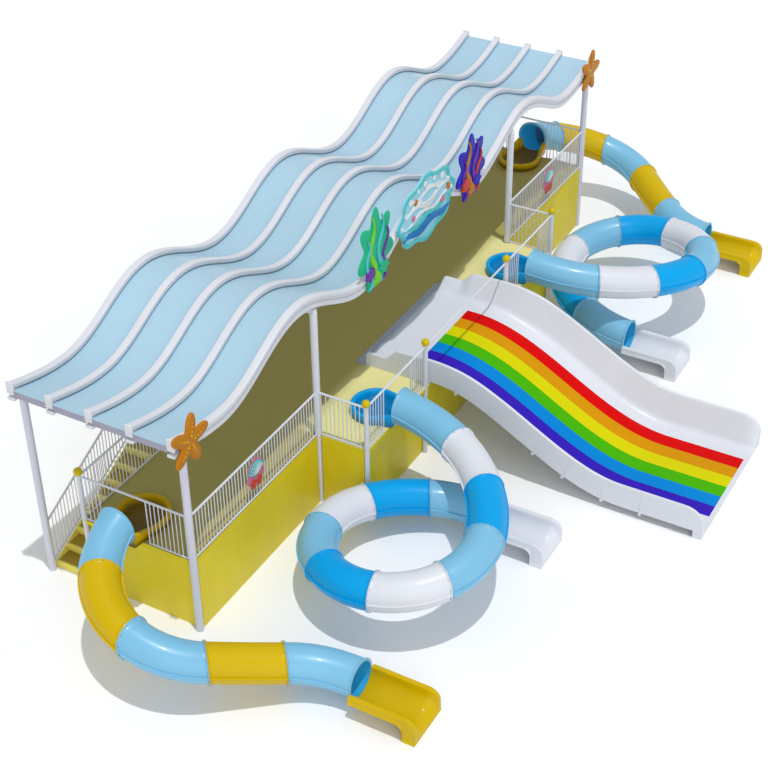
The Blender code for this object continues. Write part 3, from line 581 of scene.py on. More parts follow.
def build_frames():
    eave = wave_top(ROOF_END) - EAVE_DROP
    for side, sign in SIDES:
        node = f"end_frame_{side}"
        low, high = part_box(node)
        x = sign * END_X
        work = bmesh.new()
        block(work, (x - END_BEAM_HALF, x + END_BEAM_HALF), (low.y, high.y), (END_BEAM_FOOT, high.z), 0.006)
        # The facing that closes the roof's end between the ribs
        facing = (sign * (ROOF_END - RIB_CAP_LENGTH), sign * (ROOF_END - 0.015))
        for near, far in zip(RIB_YS, RIB_YS[1:]):
            block(work, facing, (near + 0.086, far - 0.086), (eave - 0.16, eave - 0.002))
        piece(f"end_beam_{side}", work, "beam_grey", [node])
        # Brackets under the beam, one below each rib
        work = bmesh.new()
        bracket = (sign * (END_X - 0.1), sign * (ROOF_END + 0.01))
        for y in RIB_YS:
            block(work, bracket, (y - RIB_CAP_HALF, y + RIB_CAP_HALF), (eave - 0.24, eave - 0.175), 0.012)
        piece(f"end_brackets_{side}", work, "white_steel")
        work = bmesh.new()
        round_posts(work, x, END_BEAM_FOOT + 0.02)
        piece(f"end_posts_{side}", work, "grey_steel", [node])

        node = f"inner_frame_{side}"
        x = sign * INNER_X
        work = bmesh.new()
        block(work, (x - INNER_BEAM_HALF, x + INNER_BEAM_HALF), (FRONT - 0.05, BACK + 0.05),
              (INNER_BEAM_FOOT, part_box(node)[1].z), 0.01)
        round_posts(work, x, INNER_BEAM_FOOT + 0.02)
        dress(node, work)


# Railings

def bar_places(start, end):
    """Middles of the upright bars between start and end."""
    count = max(1, round((end - start) / RAIL_PITCH))
    pitch = (end - start + RAIL_BAR) / count
    return [start + pitch * (index + 1) - RAIL_BAR / 2 for index in range(count - 1)]


def railing(work, placing, start, end, gap=None, drop=0.0):
    """A run of railing: rails, end bars and upright bars, with a gap under the top rail for a slide.

    placing turns (along, up) into a point; drop is how far the far end lies below the near one.
    """
    foot = DECK_TOP + RAIL_FOOT_BAND / 2 + 0.003
    top = RAIL_TOP - TOP_RAIL_RADIUS

    def bar(first, last, low, high, radius, points=10):
        ends = [placing(along, height - drop * (along - start) / (end - start))
                for along, height in ((first, low), (last, high))]
        rod(work, *ends, radius, points)

    bar(start, end, top, top, TOP_RAIL_RADIUS, 16)
    runs = [(start, end)] if gap is None else [(start, gap[0]), (gap[1], end)]
    for first, last in runs:
        bar(first, last, foot, foot, FOOT_RAIL_RADIUS, 12)
        near = first + (RAIL_END_BAR if first == start else RAIL_BAR)
        far = last - (RAIL_END_BAR if last == end else RAIL_BAR)
        uprights = [(along, BAR_RADIUS) for along in bar_places(near, far)]
        uprights.insert(0, (first + RAIL_BAR, END_BAR_RADIUS))
        uprights.append((last - END_BAR_RADIUS, END_BAR_RADIUS))
        for along, radius in uprights:
            bar(along, along, foot, top, radius)


def along_x(y):
    return lambda along, up: (along, y, up)


def along_y(x):
    return lambda along, up: (x, along, up)


def ball_post(posts, balls, x, y):
    neck = BALL_CENTRE - BALL_RADIUS * 0.8
    turned(posts, (x, y, 0), [
        (BALL_POST_RADIUS - 0.003, 0), (BALL_POST_RADIUS, 0.003), (BALL_POST_RADIUS, neck - 0.012),
        (BALL_POST_RADIUS + 0.008, neck - 0.01), (BALL_POST_RADIUS + 0.008, neck + 0.004),
        (BALL_POST_RADIUS - 0.004, neck + 0.008),
    ], 28)
    ball(balls, (x, y, BALL_CENTRE), BALL_RADIUS, 28, 18)


def build_railings():
    for side, sign in SIDES:
        work, balls = bmesh.new(), bmesh.new()
        railing(work, along_x(FRONT), *span(sign, END_X - POST_CLEAR, INNER_X + POST_CLEAR))
        dress(f"front_rail_{side}", work)

        work = bmesh.new()
        railing(work, along_y(sign * INNER_X), PLATFORM_FRONT + INTO_POST, FRONT - POST_CLEAR)
        railing(work, along_x(PLATFORM_FRONT), *span(sign, INNER_X - INTO_POST, CHUTE_POST_X + INTO_POST),
                gap=span(sign, SPIRAL_X + 0.55, SPIRAL_X - 0.6))
        for x in (INNER_X, CHUTE_POST_X):
            ball_post(work, balls, sign * x, PLATFORM_FRONT)
        dress(f"platform_rail_{side}", work)

        work = bmesh.new()
        railing(work, along_y(sign * END_X), FRONT + POST_CLEAR, WELL_Y - INTO_POST,
                gap=(END_SLIDE_Y - 0.55, END_SLIDE_Y + 0.55))
        railing(work, along_x(WELL_Y), *span(sign, END_X - INTO_POST, STAIR_HEAD_X))
        ball_post(work, balls, sign * END_X, WELL_Y)
        dress(f"end_rail_{side}", work)
        piece(f"post_balls_{side}", balls, "ball_yellow")

        # The stair's outer railing slopes, then runs level to the inner frame's post
        def on_side(along, up):
            return (sign * along, BACK, up)

        work = bmesh.new()
        foot_x = END_X - POST_CLEAR
        railing(work, on_side, STAIR_HEAD_X, foot_x, drop=RISE / TREAD * (foot_x - STAIR_HEAD_X))
        railing(work, on_side, INNER_X + POST_CLEAR, STAIR_HEAD_X)
        dress(f"stair_rail_{side}", work)

    work = bmesh.new()
    inside = INNER_X - POST_CLEAR
    railing(work, along_x(BACK), -inside, inside)
    dress("back_rail", work)
    # The grab bar over the chute, with a collar at either post
    work = bmesh.new()
    place = along_x(PLATFORM_FRONT)
    height = RAIL_TOP - 0.025
    reach = CHUTE_POST_X - BALL_POST_RADIUS
    for start, end, radius in ((-reach, reach, 0.022), (0.02 - reach, -reach, 0.034),
                               (reach - 0.02, reach, 0.034)):
        rod(work, place(start, height), place(end, height), radius, 24)
    dress("chute_grab_bar", work)


# Stairs

def build_stairs():
    low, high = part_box("stair_left")
    head = STAIR_HEAD_X + 0.0003
    last = STAIR_HEAD_X + 0.001
    foot = STAIR_FOOT_X - 0.002
    soffit_foot = STAIR_FOOT_X - 0.45
    side_plate = [(foot, 0.0005), (foot, RISE * 0.75), (head, DECK_TOP - 0.08),
                  (head, DECK_TOP - RISE - 0.16), (soffit_foot, 0.0005)]
    thickness, low_z, high_z = 0.02, 0.004, DECK_TOP - RISE - 0.155
    soffit = [(soffit_foot, low_z), (head + 0.002, high_z), (head + 0.002, high_z + thickness),
              (soffit_foot + thickness / (RISE / TREAD), low_z)]
    # A side plate along each edge, and the soffit that closes the flight below
    plates = [(side_plate, (low.y, low.y + STAIR_PLATE)), (side_plate, (high.y - STAIR_PLATE, high.y)),
              (soffit, (low.y + 0.01, high.y - 0.01))]
    kerbs = [(low.y + KERB_INSET, low.y + KERB_INSET + KERB_WIDTH),
             (high.y - KERB_INSET - KERB_WIDTH, high.y - KERB_INSET)]
    for side, sign in SIDES:
        treads, work = bmesh.new(), bmesh.new()
        for step in range(1, RISERS):
            top = RISE * step
            nosing = STAIR_FOOT_X - TREAD * (step - 1)
            front = nosing - 0.03
            block(treads, (sign * front, sign * max(front - TREAD, last)),
                  (low.y + 0.05, high.y - 0.05), (top - 0.035, top - 0.003))
            block(work, (sign * nosing, sign * (nosing - 0.04)),
                  (low.y + KERB_INSET, high.y - KERB_INSET), (RISE * (step - 1) + 0.001, top), 0.006)
            # A narrow kerb along both edges of the tread
            for kerb in kerbs:
                block(work, (sign * front, sign * max(nosing - TREAD - 0.01, last)), kerb,
                      (top - 0.03, top - 0.0005), 0.003)
        # The treads' darker material is painted shade of the roof
        piece(f"stair_treads_{side}", treads, "stair_tread_painted_shade", [f"stair_{side}"])
        for outline, ys in plates:
            sweep(work, [[(sign * x, y, z) for x, z in outline] for y in ys])
        dress(f"stair_{side}", work, "deck_yellow", "stair_riser")


# Tube slides

def walk(start, heading, legs, length):
    """Plan position and heading after this length of a route of straight and curved legs."""
    x, y = start
    left = length
    for leg, turn_degrees in [*legs, (99, 0)]:
        run = min(left, leg)
        bend = -radians(turn_degrees) / leg
        if abs(bend) < 1e-9:
            x += run * cos(heading)
            y += run * sin(heading)
        else:
            x += (sin(heading + bend * run) - sin(heading)) / bend
            y -= (cos(heading + bend * run) - cos(heading)) / bend
            heading += bend * run
        left -= run
        if left <= 0:
            break
    return x, y, heading


class Route:
    """Points round a tube slide's centre line, on the left side or mirrored to the right."""

    def __init__(self, sign, start, heading, legs, length, inlet_z, easing):
        self.mirror = -sign
        self.start, self.heading, self.legs = start, heading, legs
        self.length, self.inlet_z, self.easing = length, inlet_z, easing

    def centre(self, length):
        """The centre line's point and heading at this length, before any mirroring."""
        x, y, heading = walk(self.start, self.heading, self.legs, length)
        left = max(0.0, 1 - length / self.length)
        return Vector((x, y, OUTLET_Z + (self.inlet_z - OUTLET_Z) * left**self.easing)), heading

    def place(self, length, angle, radius, lift=0.0):
        centre, heading = self.centre(length)
        ahead, _ = self.centre(length + 0.05)
        behind, _ = self.centre(max(0.0, length - 0.05))
        step = ahead - behind
        slope = atan2(abs(step.z), hypot(step.x, step.y))
        spot = centre + Vector((-sin(heading), cos(heading), 0)) * radius * cos(angle)
        spot.z += radius * sin(angle) / cos(slope) + lift
        return Vector((self.mirror * spot.x, spot.y, spot.z))

    def ring(self, length, radius):
        return [
            self.place(length, 2 * pi * index / TUBE_POINTS, radius)
            for index in range(TUBE_POINTS)
        ]


def tube_section(name, route, start, end, colour, node):
    """One moulded length of tube: the hollow shell with its flanges, and the lips where its halves meet."""
    work = bmesh.new()
    start, end = start + JOINT_GAP, end - JOINT_GAP
    inner, outer = start + FLANGE_LENGTH, end - FLANGE_LENGTH
    flange = [
        (start, FLANGE_RADIUS - 0.004), (start + 0.004, FLANGE_RADIUS), (inner - 0.004, FLANGE_RADIUS),
        (inner, FLANGE_RADIUS - 0.004), (inner + 0.003, TUBE_RADIUS + 0.006), (inner + 0.012, TUBE_RADIUS),
    ]
    middle = spread(inner + 0.05, outer - 0.05, TUBE_STEP)
    outside = flange + [(length, TUBE_RADIUS) for length in middle]
    outside += [(start + end - length, radius) for length, radius in reversed(flange)]
    inside = [(length, TUBE_INSIDE) for length in reversed([start, *middle, end])]
    sweep(work, [route.ring(length, radius) for length, radius in outside + inside], looped=True)
    # The halves' lips, a little proud of the tube on both sides
    lip = [
        (-0.006, -LIP_HALF), (LIP_REACH - 0.003, -LIP_HALF), (LIP_REACH, 0.003 - LIP_HALF),
        (LIP_REACH, LIP_HALF - 0.003), (LIP_REACH - 0.003, LIP_HALF), (-0.006, LIP_HALF),
    ]
    stations = spread(inner - 0.002, outer + 0.002, TUBE_STEP)
    for angle in (0.0, pi):
        sweep(work, [[route.place(length, angle, TUBE_RADIUS + out, up) for out, up in lip]
                     for length in stations])
    piece(name, work, colour, [node])


def mouth_liner(name, route, start):
    """The inner skin that shows at a tube's mouth, with a painted glow."""
    work = bmesh.new()
    places = spread(start, start + MOUTH_DEPTH, 0.08)
    rings = [route.ring(length, TUBE_INSIDE - 0.001) for length in places]
    rings += [route.ring(length, TUBE_INSIDE - 0.006) for length in reversed(places)]
    sweep(work, rings, looped=True)
    piece(name, work, "inside_pale_blue_painted_glow")


def joint_bolts(work, route, length):
    """Hexagon bolt heads on both faces of a joint."""
    middle = 0.5 * (FLANGE_RADIUS + TUBE_RADIUS) + 0.002
    reach = FLANGE_LENGTH + 0.012
    for index in range(JOINT_BOLTS):
        angle = 2 * pi * (index + 0.5) / JOINT_BOLTS
        rod(work, route.place(length - reach, angle, middle), route.place(length + reach, angle, middle),
            0.009, 6)


def trough_section(rim, hem, floor, flat):
    """The right half of the trough's section: its skin from the hem up and in to the middle, and its back.

    As flat goes from 0 to 1, the round channel widens into a flat one.
    """
    w = TROUGH_HALF
    inner = TROUGH_INNER_HALF + TROUGH_WIDENING * flat
    power = 1 - 0.72 * flat
    depth = rim - TROUGH_ROLL - floor

    def channel(half, fall, degrees):
        angle = radians(degrees)
        across, down = cos(angle) ** power, sin(angle) ** power
        return Vector((half * across, max(0.0005, rim - TROUGH_ROLL - fall * down)))

    skin = fillet(
        [(w - 0.012, hem), (w, hem + 0.004), (w - 0.03, hem + 0.07), (w - 0.034, rim),
         (inner + 0.014, rim), (inner, rim - TROUGH_ROLL)],
        [0, 0, 0.02, 0.02, 0.012, 0],
    )
    skin += [channel(inner, depth, degrees) for degrees in range(10, 91, 10)]
    back = [channel(inner + TROUGH_SKIN, depth + TROUGH_SKIN, degrees) for degrees in range(90, 19, -10)]
    back += [
        Vector((inner + 0.024, rim - 0.02)), Vector((w - 0.05, rim - 0.02)),
        Vector((w - 0.05, hem + 0.06)), Vector((w - 0.022, hem)),
    ]
    return skin, back


def arc_stations(start, reach, degrees):
    """Places behind start that lie even along a quarter circle of this reach."""
    return [start + reach * (1 - sin(radians(a))) for a in degrees]


def trough_stations(start_y):
    """Places along the trough with the heights of its rim, hem and floor there, and its flatness."""
    places = spread(start_y, TROUGH_FOOT_BACK + FOOT_BEND, 0.1)
    places += arc_stations(TROUGH_FOOT_BACK, FOOT_BEND, (18, 36, 54, 72, 84))
    places += [TROUGH_FOOT_BACK + 0.001, TROUGH_FOOT_BACK]
    places += arc_stations(TROUGH_FRONT, FRONT_BEND, range(0, 91, 10))
    stations = []
    for y in places:
        near_foot = clamped((TROUGH_FOOT_BACK + FOOT_BEND - y) / FOOT_BEND)
        hem = TROUGH_HEM_Z - FOOT_BEND * quarter_drop(near_foot)
        if y <= TROUGH_FOOT_BACK:
            hem = 0.001
        near_end = clamped((TROUGH_FRONT + FRONT_BEND - y) / FRONT_BEND)
        drop = quarter_drop(near_end)
        floor = TROUGH_FLOOR_Z - (TROUGH_FLOOR_Z - 0.012) * drop
        stations.append((y, TROUGH_RIM_Z - TROUGH_RIM_FALL * drop, hem, floor, near_end**1.5))
    return stations


def end_plates(work, outline, place, front_y):
    """Closes the hollow beside an open end with a plate on either side, given for the right one."""
    for sign in (-1, 1):
        sweep(work, [[place(sign * across, up, y) for across, up in outline]
                     for y in (front_y + 0.03, front_y + 0.001)])


def rolled_trough(node, route, colour):
    """The open run-out: a round channel whose sides fold over and hang down, on a foot at its end."""
    end, _ = route.centre(route.length)
    x = route.mirror * end.x
    work = bmesh.new()
    rings = []
    for y, *section in trough_stations(end.y - 0.0003):
        skin, back = trough_section(*section)
        outline = skin + mirrored(skin[:-1]) + mirrored(back[1:]) + back
        rings.append([(x + p.x, y, p.y) for p in outline])
    sweep(work, rings)
    half = TROUGH_INNER_HALF + TROUGH_WIDENING
    rim = TROUGH_RIM_Z - TROUGH_RIM_FALL
    end_plates(
        work,
        [(0.78 * half, 0.0008), (TROUGH_HALF - 0.003, 0.0008), (TROUGH_HALF - 0.004, 0.012),
         (TROUGH_HALF - 0.032, 0.075), (TROUGH_HALF - 0.037, rim - 0.01), (half + 0.016, rim - 0.005),
         (half + 0.008, rim - 0.05), (half + 0.005, 0.1), (half - 0.003, 0.063), (0.95 * half, 0.036),
         (0.9 * half, 0.022), (0.82 * half, 0.009), (0.78 * half, 0.005)],
        lambda across, up, y: (x + across, y, up), TROUGH_FRONT,
    )
    dress(node, work, colour)


def bowl_outline(length):
    """The bowl's plan from one neck corner round the back to the other, 0 at the tube."""
    centre = length - BOWL_RADIUS
    half = fillet(
        [(BOWL_NECK_HALF, 0), (BOWL_NECK_HALF + 0.01, 0.12), (0.47, 0.3 * centre + 0.12),
         (0.53, 0.7 * centre), (BOWL_RADIUS, centre)],
        [0, 0.15, 0.15, 0.15, 0],
    )
    for degrees in range(6, 90, 6):
        a = radians(degrees)
        half.append(Vector((BOWL_RADIUS * cos(a), centre + BOWL_RADIUS * sin(a))))
    return half + [Vector((0, length))] + mirrored(half)


def bowl_profile(rise):
    """The bowl's skin as (distance in from its outline, height): foot, wall, rolled rim and dish."""
    return [
        (0.03, 0.0), (0.012, 0.02), (0.004, rise * 0.4), (0.0, rise - 0.05), (0.004, rise - 0.02),
        (0.016, rise - 0.005), (0.034, rise), (0.066, rise - 0.001), (0.084, rise - 0.008),
        (0.097, rise - 0.026), (0.108, rise - 0.06), (0.124, 0.55 * rise), (0.142, 0.33 * rise),
        (0.17, 0.055), (0.215, 0.038), (0.3, 0.033),
    ]


def entry_bowl(node, route, turn, length, colour):
    """The low open bowl that feeds a tube, with a broad rolled rim; local +Y runs back from the tube."""
    work = bmesh.new()
    floor = DECK_TOP + 0.0006
    rows = []
    for edge in bowl_outline(length):
        spine = Vector((0, min(edge.y, length - BOWL_RADIUS)))
        inward = (spine - edge).normalized()
        near_neck = max(0.0, 1 - edge.y / BOWL_NECK_LENGTH)
        row = [(spine.x, spine.y, floor)]
        for inset, height in bowl_profile(BOWL_RIM + BOWL_NECK_RISE * near_neck):
            spot = edge + inward * inset * (1 + 0.25 * near_neck)
            row.append((spot.x, spot.y, floor + height))
        row.append((spine.x, spine.y, floor + BOWL_FLOOR))
        rows.append([work.verts.new(p) for p in row])
    for near, far in zip(rows, rows[1:]):
        for i in range(len(near) - 1):
            work.faces.new((near[i], near[i + 1], far[i + 1], far[i]))
    work.faces.new(rows[0])
    work.faces.new(rows[-1])
    bmesh.ops.remove_doubles(work, verts=work.verts, dist=0.00005)
    place = Matrix.Translation((*route.start, 0)) @ Matrix.Rotation(turn, 4, "Z")
    if route.mirror < 0:
        place = Matrix.Scale(-1, 4, (1, 0, 0)) @ place
    bmesh.ops.transform(work, matrix=place, verts=work.verts)
    # The bowl's material paints shade into its dish
    dress(node, work, colour, colour.replace("tube", "bowl"), 50)


def build_slide(side, label, node, route, joints, colours, mouths, bolts):
    """A slide's lengths of tube, the skins in its mouths and the bolts at its joints.

    A node stands for as many lengths as there are colours, and the last one also for what is left.
    """
    breaks = [0.0, *joints, route.length]
    count = len(colours)
    for index, (start, end) in enumerate(zip(breaks, breaks[1:])):
        tube_section(f"{label}_{side}_section_{index + 1}", route, start, end, colours[index % count],
                     f"{node}_tube_{side}_{min(count, index // count + 1)}")
    starts = {"top": MOUTH_SETBACK, "foot": route.length - MOUTH_DEPTH - MOUTH_SETBACK}
    for mouth in mouths:
        mouth_liner(f"{label}_{side}_{mouth}_mouth", route, starts[mouth])
    for length in joints:
        joint_bolts(bolts, route, length)


def build_tube_slides():
    for side, sign in SIDES:
        bolts = bmesh.new()
        route = Route(sign, (-SPIRAL_X, SPIRAL_START_Y), -pi / 2, SPIRAL_LEGS, SPIRAL_LENGTH,
                      SPIRAL_INLET_Z, SPIRAL_EASING)
        build_slide(side, "spiral", "spiral", route, SPIRAL_JOINTS,
                    ["tube_pale_blue", "white_moulding", "tube_blue"], ["foot"], bolts)
        rolled_trough(f"spiral_trough_{side}", route, "white_moulding")
        entry_bowl(f"spiral_bowl_{side}", route, 0, SPIRAL_BOWL_LENGTH, "tube_blue")

        route = Route(sign, (END_SLIDE_START_X, END_SLIDE_Y), pi, END_SLIDE_LEGS, END_SLIDE_LENGTH,
                      END_SLIDE_INLET_Z, END_SLIDE_EASING)
        build_slide(side, "end_slide", "end", route, END_SLIDE_JOINTS,
                    ["tube_pale_blue", "tube_yellow"], ["top", "foot"], bolts)
        rolled_trough(f"end_trough_{side}", route, "tube_yellow")
        entry_bowl(f"end_bowl_{side}", route, -pi / 2, END_BOWL_LENGTH, "tube_yellow")
        piece(f"joint_bolts_{side}", bolts, "bolt_steel")


# Chute

def chute_floor(y):
    part = clamped((DROP_START - y) / DROP_LENGTH)
    fall = CHUTE_FLOOR_TOP - CHUTE_FLOOR_END
    return CHUTE_FLOOR_END + fall * (1 + cos(pi * part)) / 2


def chute_slope(y):
    return atan2(chute_floor(y + 0.01) - chute_floor(y - 0.01), 0.02)


def smooth_rise(y, start, end):
    """0 behind start, 1 in front of end and a smooth rise between them."""
    return (1 - cos(pi * clamped((start - y) / (start - end)))) / 2


def chute_wall(y):
    """Height of the side walls over the floor: a low start, two rises, and both ends rounded off."""
    height = CHUTE_LOW_WALL
    height += (CHUTE_MIDDLE_WALL - CHUTE_LOW_WALL) * smooth_rise(y, FRONT - 0.1, WALL_RISE_START)
    height += (CHUTE_HIGH_WALL - CHUTE_MIDDLE_WALL) * smooth_rise(y, WALL_RISE_START, WALL_RISE_END)
    height *= 1 - 0.52 * quarter_drop(clamped((CHUTE_FRONT + WALL_END - y) / WALL_END))
    nose = min(1.0, (CHUTE_BACK - y) / WALL_NOSE)
    return height * (0.6 + 0.4 * sqrt(1 - (1 - nose) ** 2))


def chute_skirt(y):
    """Height of the skirt's hem over the floor: on the deck, hanging free, or on the ground."""
    if y > PLATFORM_FRONT - 0.05:
        return (DECK_TOP + 0.0005 - chute_floor(y)) / cos(chute_slope(y))
    if y < CHUTE_FRONT + CHUTE_FOOT + 0.001:
        return 0.0005 - chute_floor(y)
    return CHUTE_HIGH_WALL * (1 - 0.21 * (1 - smooth_rise(y, WALL_RISE_START, WALL_RISE_END))) - CHUTE_SKIRT


def across_slope(y, x, height):
    """A point this high over the chute's floor, measured square to it."""
    slope = chute_slope(y)
    return (x, y - height * sin(slope), chute_floor(y) + height * cos(slope))


def chute_ring(y):
    height = chute_wall(y)
    skirt = chute_skirt(y)
    w, t = CHUTE_HALF, CHUTE_SHELL
    # A joint between mouldings shows as a narrow groove
    sink = GROOVE_DEPTH if any(abs(y - groove) < 0.004 for groove in CHUTE_GROOVES) else 0.0
    band = fillet(
        [(w, skirt), (w, height), (w - WALL_WIDTH, height), (w - BANK_TOP, 0.1 * height),
         (w - BANK_FOOT, 0), (w - FLOOR_EDGE, 0)],
        [0, 0.03, 0.035, 0.12, 0.1, 0], 5,
    )
    band = [Vector((p.x - sink, p.y - sink)) for p in band] + [Vector((0.4, -sink))]
    under = [Vector(point) for point in (
        (0.3, -t), (w - BANK_FOOT, -t), (w - BANK_TOP + 0.03, 0.1 * height - t),
        (w - WALL_WIDTH + 0.015, height - t), (w - t, height - t), (w - t, skirt),
    )]
    return [across_slope(y, p.x, p.y) for p in band + mirrored(band) + mirrored(under) + under]


def chute_stations():
    places = [CHUTE_BACK - depth for depth in (0, 0.004, 0.012, 0.025, 0.045, WALL_NOSE)]
    places += spread(CHUTE_BACK - 0.12, FRONT - 0.05, 0.09)
    places += spread(FRONT - 0.1, WALL_RISE_START, 0.035)
    places += spread(FRONT - 0.52, CHUTE_FRONT + 0.46, 0.09)
    places += arc_stations(CHUTE_FRONT, WALL_END, range(8, 90, 8))
    places += [CHUTE_FRONT]
    for groove in CHUTE_GROOVES:
        places += [groove - 0.0045, groove - 0.0035, groove + 0.0035, groove + 0.0045]
    edge = PLATFORM_FRONT - 0.05
    foot = CHUTE_FRONT + CHUTE_FOOT
    places += [edge + 0.0005, edge - 0.0305, foot + 0.002, foot]
    return sorted(set(places), reverse=True)


def build_chute():
    work = bmesh.new()
    sweep(work, [chute_ring(y) for y in chute_stations()])
    w = CHUTE_HALF
    # The end apron, and at each joint a fin down the skirt with a bracket under the hem
    block(work, (0.003 - w, w - 0.003), (CHUTE_FRONT + 0.003, CHUTE_FRONT + 0.05),
          (0.0005, CHUTE_FLOOR_END - 0.01), 0.006)
    wall = chute_wall(CHUTE_FRONT)
    ground = 0.0008 - chute_floor(CHUTE_FRONT)
    end_plates(
        work,
        [(w - FLOOR_EDGE, ground), (w - 0.002, ground), (w - 0.002, wall - 0.012), (w - 0.06, wall - 0.012),
         (w - 0.31, 0.1 * wall - 0.012), (w - BANK_FOOT, -0.012), (w - FLOOR_EDGE, -0.012)],
        lambda across, up, y: across_slope(y, across, up), CHUTE_FRONT,
    )
    fin = 0.22 * CHUTE_SKIRT
    for sign in (-1, 1):
        for joint in CHUTE_JOINTS:
            hem = chute_skirt(joint) - 0.035
            turn = Matrix.Rotation(chute_slope(joint), 4, "X")
            for across, up, half, edge in (
                (w + 0.004, hem + fin, (0.012, 0.009, fin + 0.035), 0.003),
                (w - 0.018, hem, (0.02, 0.035, 0.04), 0.005),
            ):
                middle = Vector(across_slope(joint, sign * across, up))
                block(work, *zip(middle - Vector(half), middle + Vector(half)), edge, turn)
    dress("chute", work, "white_moulding")
    width = 2 * STRIPE_HALF / len(STRIPES)
    stations = spread(STRIPE_START, STRIPE_END, 0.06)
    for index, label in enumerate(STRIPES):
        low_x = -STRIPE_HALF + width * index
        high_x = low_x + width
        section = [(low_x, -0.003), (high_x, -0.003), (high_x, 0.0025), (low_x, 0.0025)]
        work = bmesh.new()
        sweep(work, [[across_slope(y, x, height) for x, height in section] for y in stations])
        piece(f"chute_stripe_{label}", work, "stripe_" + label)


# Decorations

def plate_piece(name, outlines, front_y, back_y, material_name, edge=0.012, nodes=()):
    """A flat shape cut from board, from closed outlines in X and Z, with eased edges."""
    curve = bpy.data.curves.new(name, "CURVE")
    curve.dimensions = "2D"
    curve.fill_mode = "BOTH"
    thickness = back_y - front_y
    edge = min(edge, thickness * 0.45)
    curve.extrude = thickness / 2 - edge
    curve.bevel_depth = edge
    curve.bevel_resolution = 2
    curve.offset = -edge
    for outline in outlines:
        spline = curve.splines.new("POLY")
        spline.points.add(len(outline) - 1)
        for point, (x, z) in zip(spline.points, outline):
            point.co = (x, z, 0, 1)
        spline.use_cyclic_u = True
    source = new_object(name + "_curve", curve)
    bpy.context.view_layer.update()
    shown = source.evaluated_get(bpy.context.evaluated_depsgraph_get())
    mesh = bpy.data.meshes.new_from_object(shown)
    bpy.data.objects.remove(source, do_unlink=True)
    middle = Matrix.Translation((0, (front_y + back_y) / 2, 0))
    mesh.transform(middle @ Matrix.Rotation(pi / 2, 4, "X"))
    work = bmesh.new()
    work.from_mesh(mesh)
    bmesh.ops.remove_doubles(work, verts=work.verts, dist=0.0002)
    piece(name, work, material_name, nodes, 30)


def lobed(centre_x, centre_z, width, height, lobes, depth, points, turn=0.0):
    """A closed outline with rounded lobes."""
    outline = []
    for index in range(points):
        angle = 2 * pi * index / points + pi / 2
        reach = 1 - depth * (1 - cos(lobes * (angle - pi / 2))) / 2
        x = centre_x + width / 2 * reach * cos(angle + turn)
        outline.append((x, centre_z + height / 2 * reach * sin(angle + turn)))
    return outline


def wave_band(x0, x1, base, thickness, swell, length, phase):
    """A ribbon that rolls up and down, thin at both ends."""
    top, bottom = [], []
    for t in spread(0, 1, 1 / 60):
        x = x0 + (x1 - x0) * t
        middle = base + swell * sin(2 * pi * x / length + phase)
        half = thickness / 2 * sin(pi * max(0.03, t)) ** 0.6
        top.append((x, middle + half))
        bottom.append((x, middle - half))
    return top + bottom[::-1]


def frond(x, z, height, lean, width):
    """A seaweed blade that sways as it rises and narrows to a round tip."""
    left, right = [], []
    for t in spread(0, 1, 1 / 26):
        middle = x + lean * t + 0.09 * sin(2 * pi * 1.5 * t)
        half = width / 2 * (1 - t**2.2) ** 0.5 * (0.75 + 0.25 * cos(6 * pi * t))
        half = max(half, 0.004)
        left.append((middle - half, z + height * t))
        right.append((middle + half, z + height * t))
    return left + right[::-1]


def build_sign():
    front = BOARD_FRONT
    face = front + 0.034
    outer, inner = (lobed(0, SIGN_Z, *size, 8, 0.12, 160) for size in ((2.7, 1.65), (2.48, 1.43)))
    plate_piece("sign_board_dressed", [outer], front + 0.03, BOARD_BACK, "sign_teal", 0.02, ["sign_board"])
    plate_piece("sign_rim", [outer, inner], front + 0.008, face, "board_aqua")
    waves = [
        ("deep", (-1.08, 1.1, 4.66, 0.2, 0.05, 1.1, 0.4), "board_blue"),
        ("middle", (-1.12, 1.12, 4.84, 0.13, 0.06, 0.95, 1.6), "board_aqua"),
        ("foam", (-1.05, 1.08, 4.98, 0.09, 0.07, 1.2, 2.9), "board_white"),
        ("crest", (-0.95, 0.98, 5.2, 0.16, 0.09, 1.3, 4.2), "board_white"),
        ("top", (-0.8, 0.85, 5.43, 0.12, 0.06, 0.9, 0.9), "board_white"),
    ]
    for index, (label, band, colour) in enumerate(waves):
        plate_piece(f"sign_wave_{label}", [wave_band(*band)], front + 0.004 * index, face, colour, 0.008)
    bubbles = [
        (-0.98, 5.28, 0.06), (-0.75, 5.5, 0.08), (-0.42, 5.63, 0.05), (-0.1, 5.66, 0.07),
        (0.32, 5.62, 0.06), (0.7, 5.52, 0.08), (0.98, 5.3, 0.06), (-1.12, 5.02, 0.045),
        (1.14, 5.02, 0.05), (0.5, 5.32, 0.04), (-0.3, 5.32, 0.04), (0.1, 5.06, 0.035),
    ]
    discs = [lobed(x, z, 2 * radius, 2 * radius, 1, 0, 20) for x, z, radius in bubbles]
    plate_piece("sign_bubbles", discs, front, face, "board_white", 0.01)
    shells = [lobed(0.72, 4.93, 0.2, 0.18, 9, 0.2, 60), lobed(-0.62, 5.06, 0.14, 0.14, 9, 0.2, 60)]
    stars = [lobed(1.0, 5.1, 0.2, 0.2, 5, 0.5, 60, 0.3), lobed(-0.52, 5.4, 0.16, 0.16, 5, 0.5, 60)]
    for label, outlines, colour in (("shells", shells, "plaque_pink"), ("stars", stars, "star_orange")):
        plate_piece(f"sign_{label}", outlines, front - 0.004, front + 0.03, colour, 0.01)


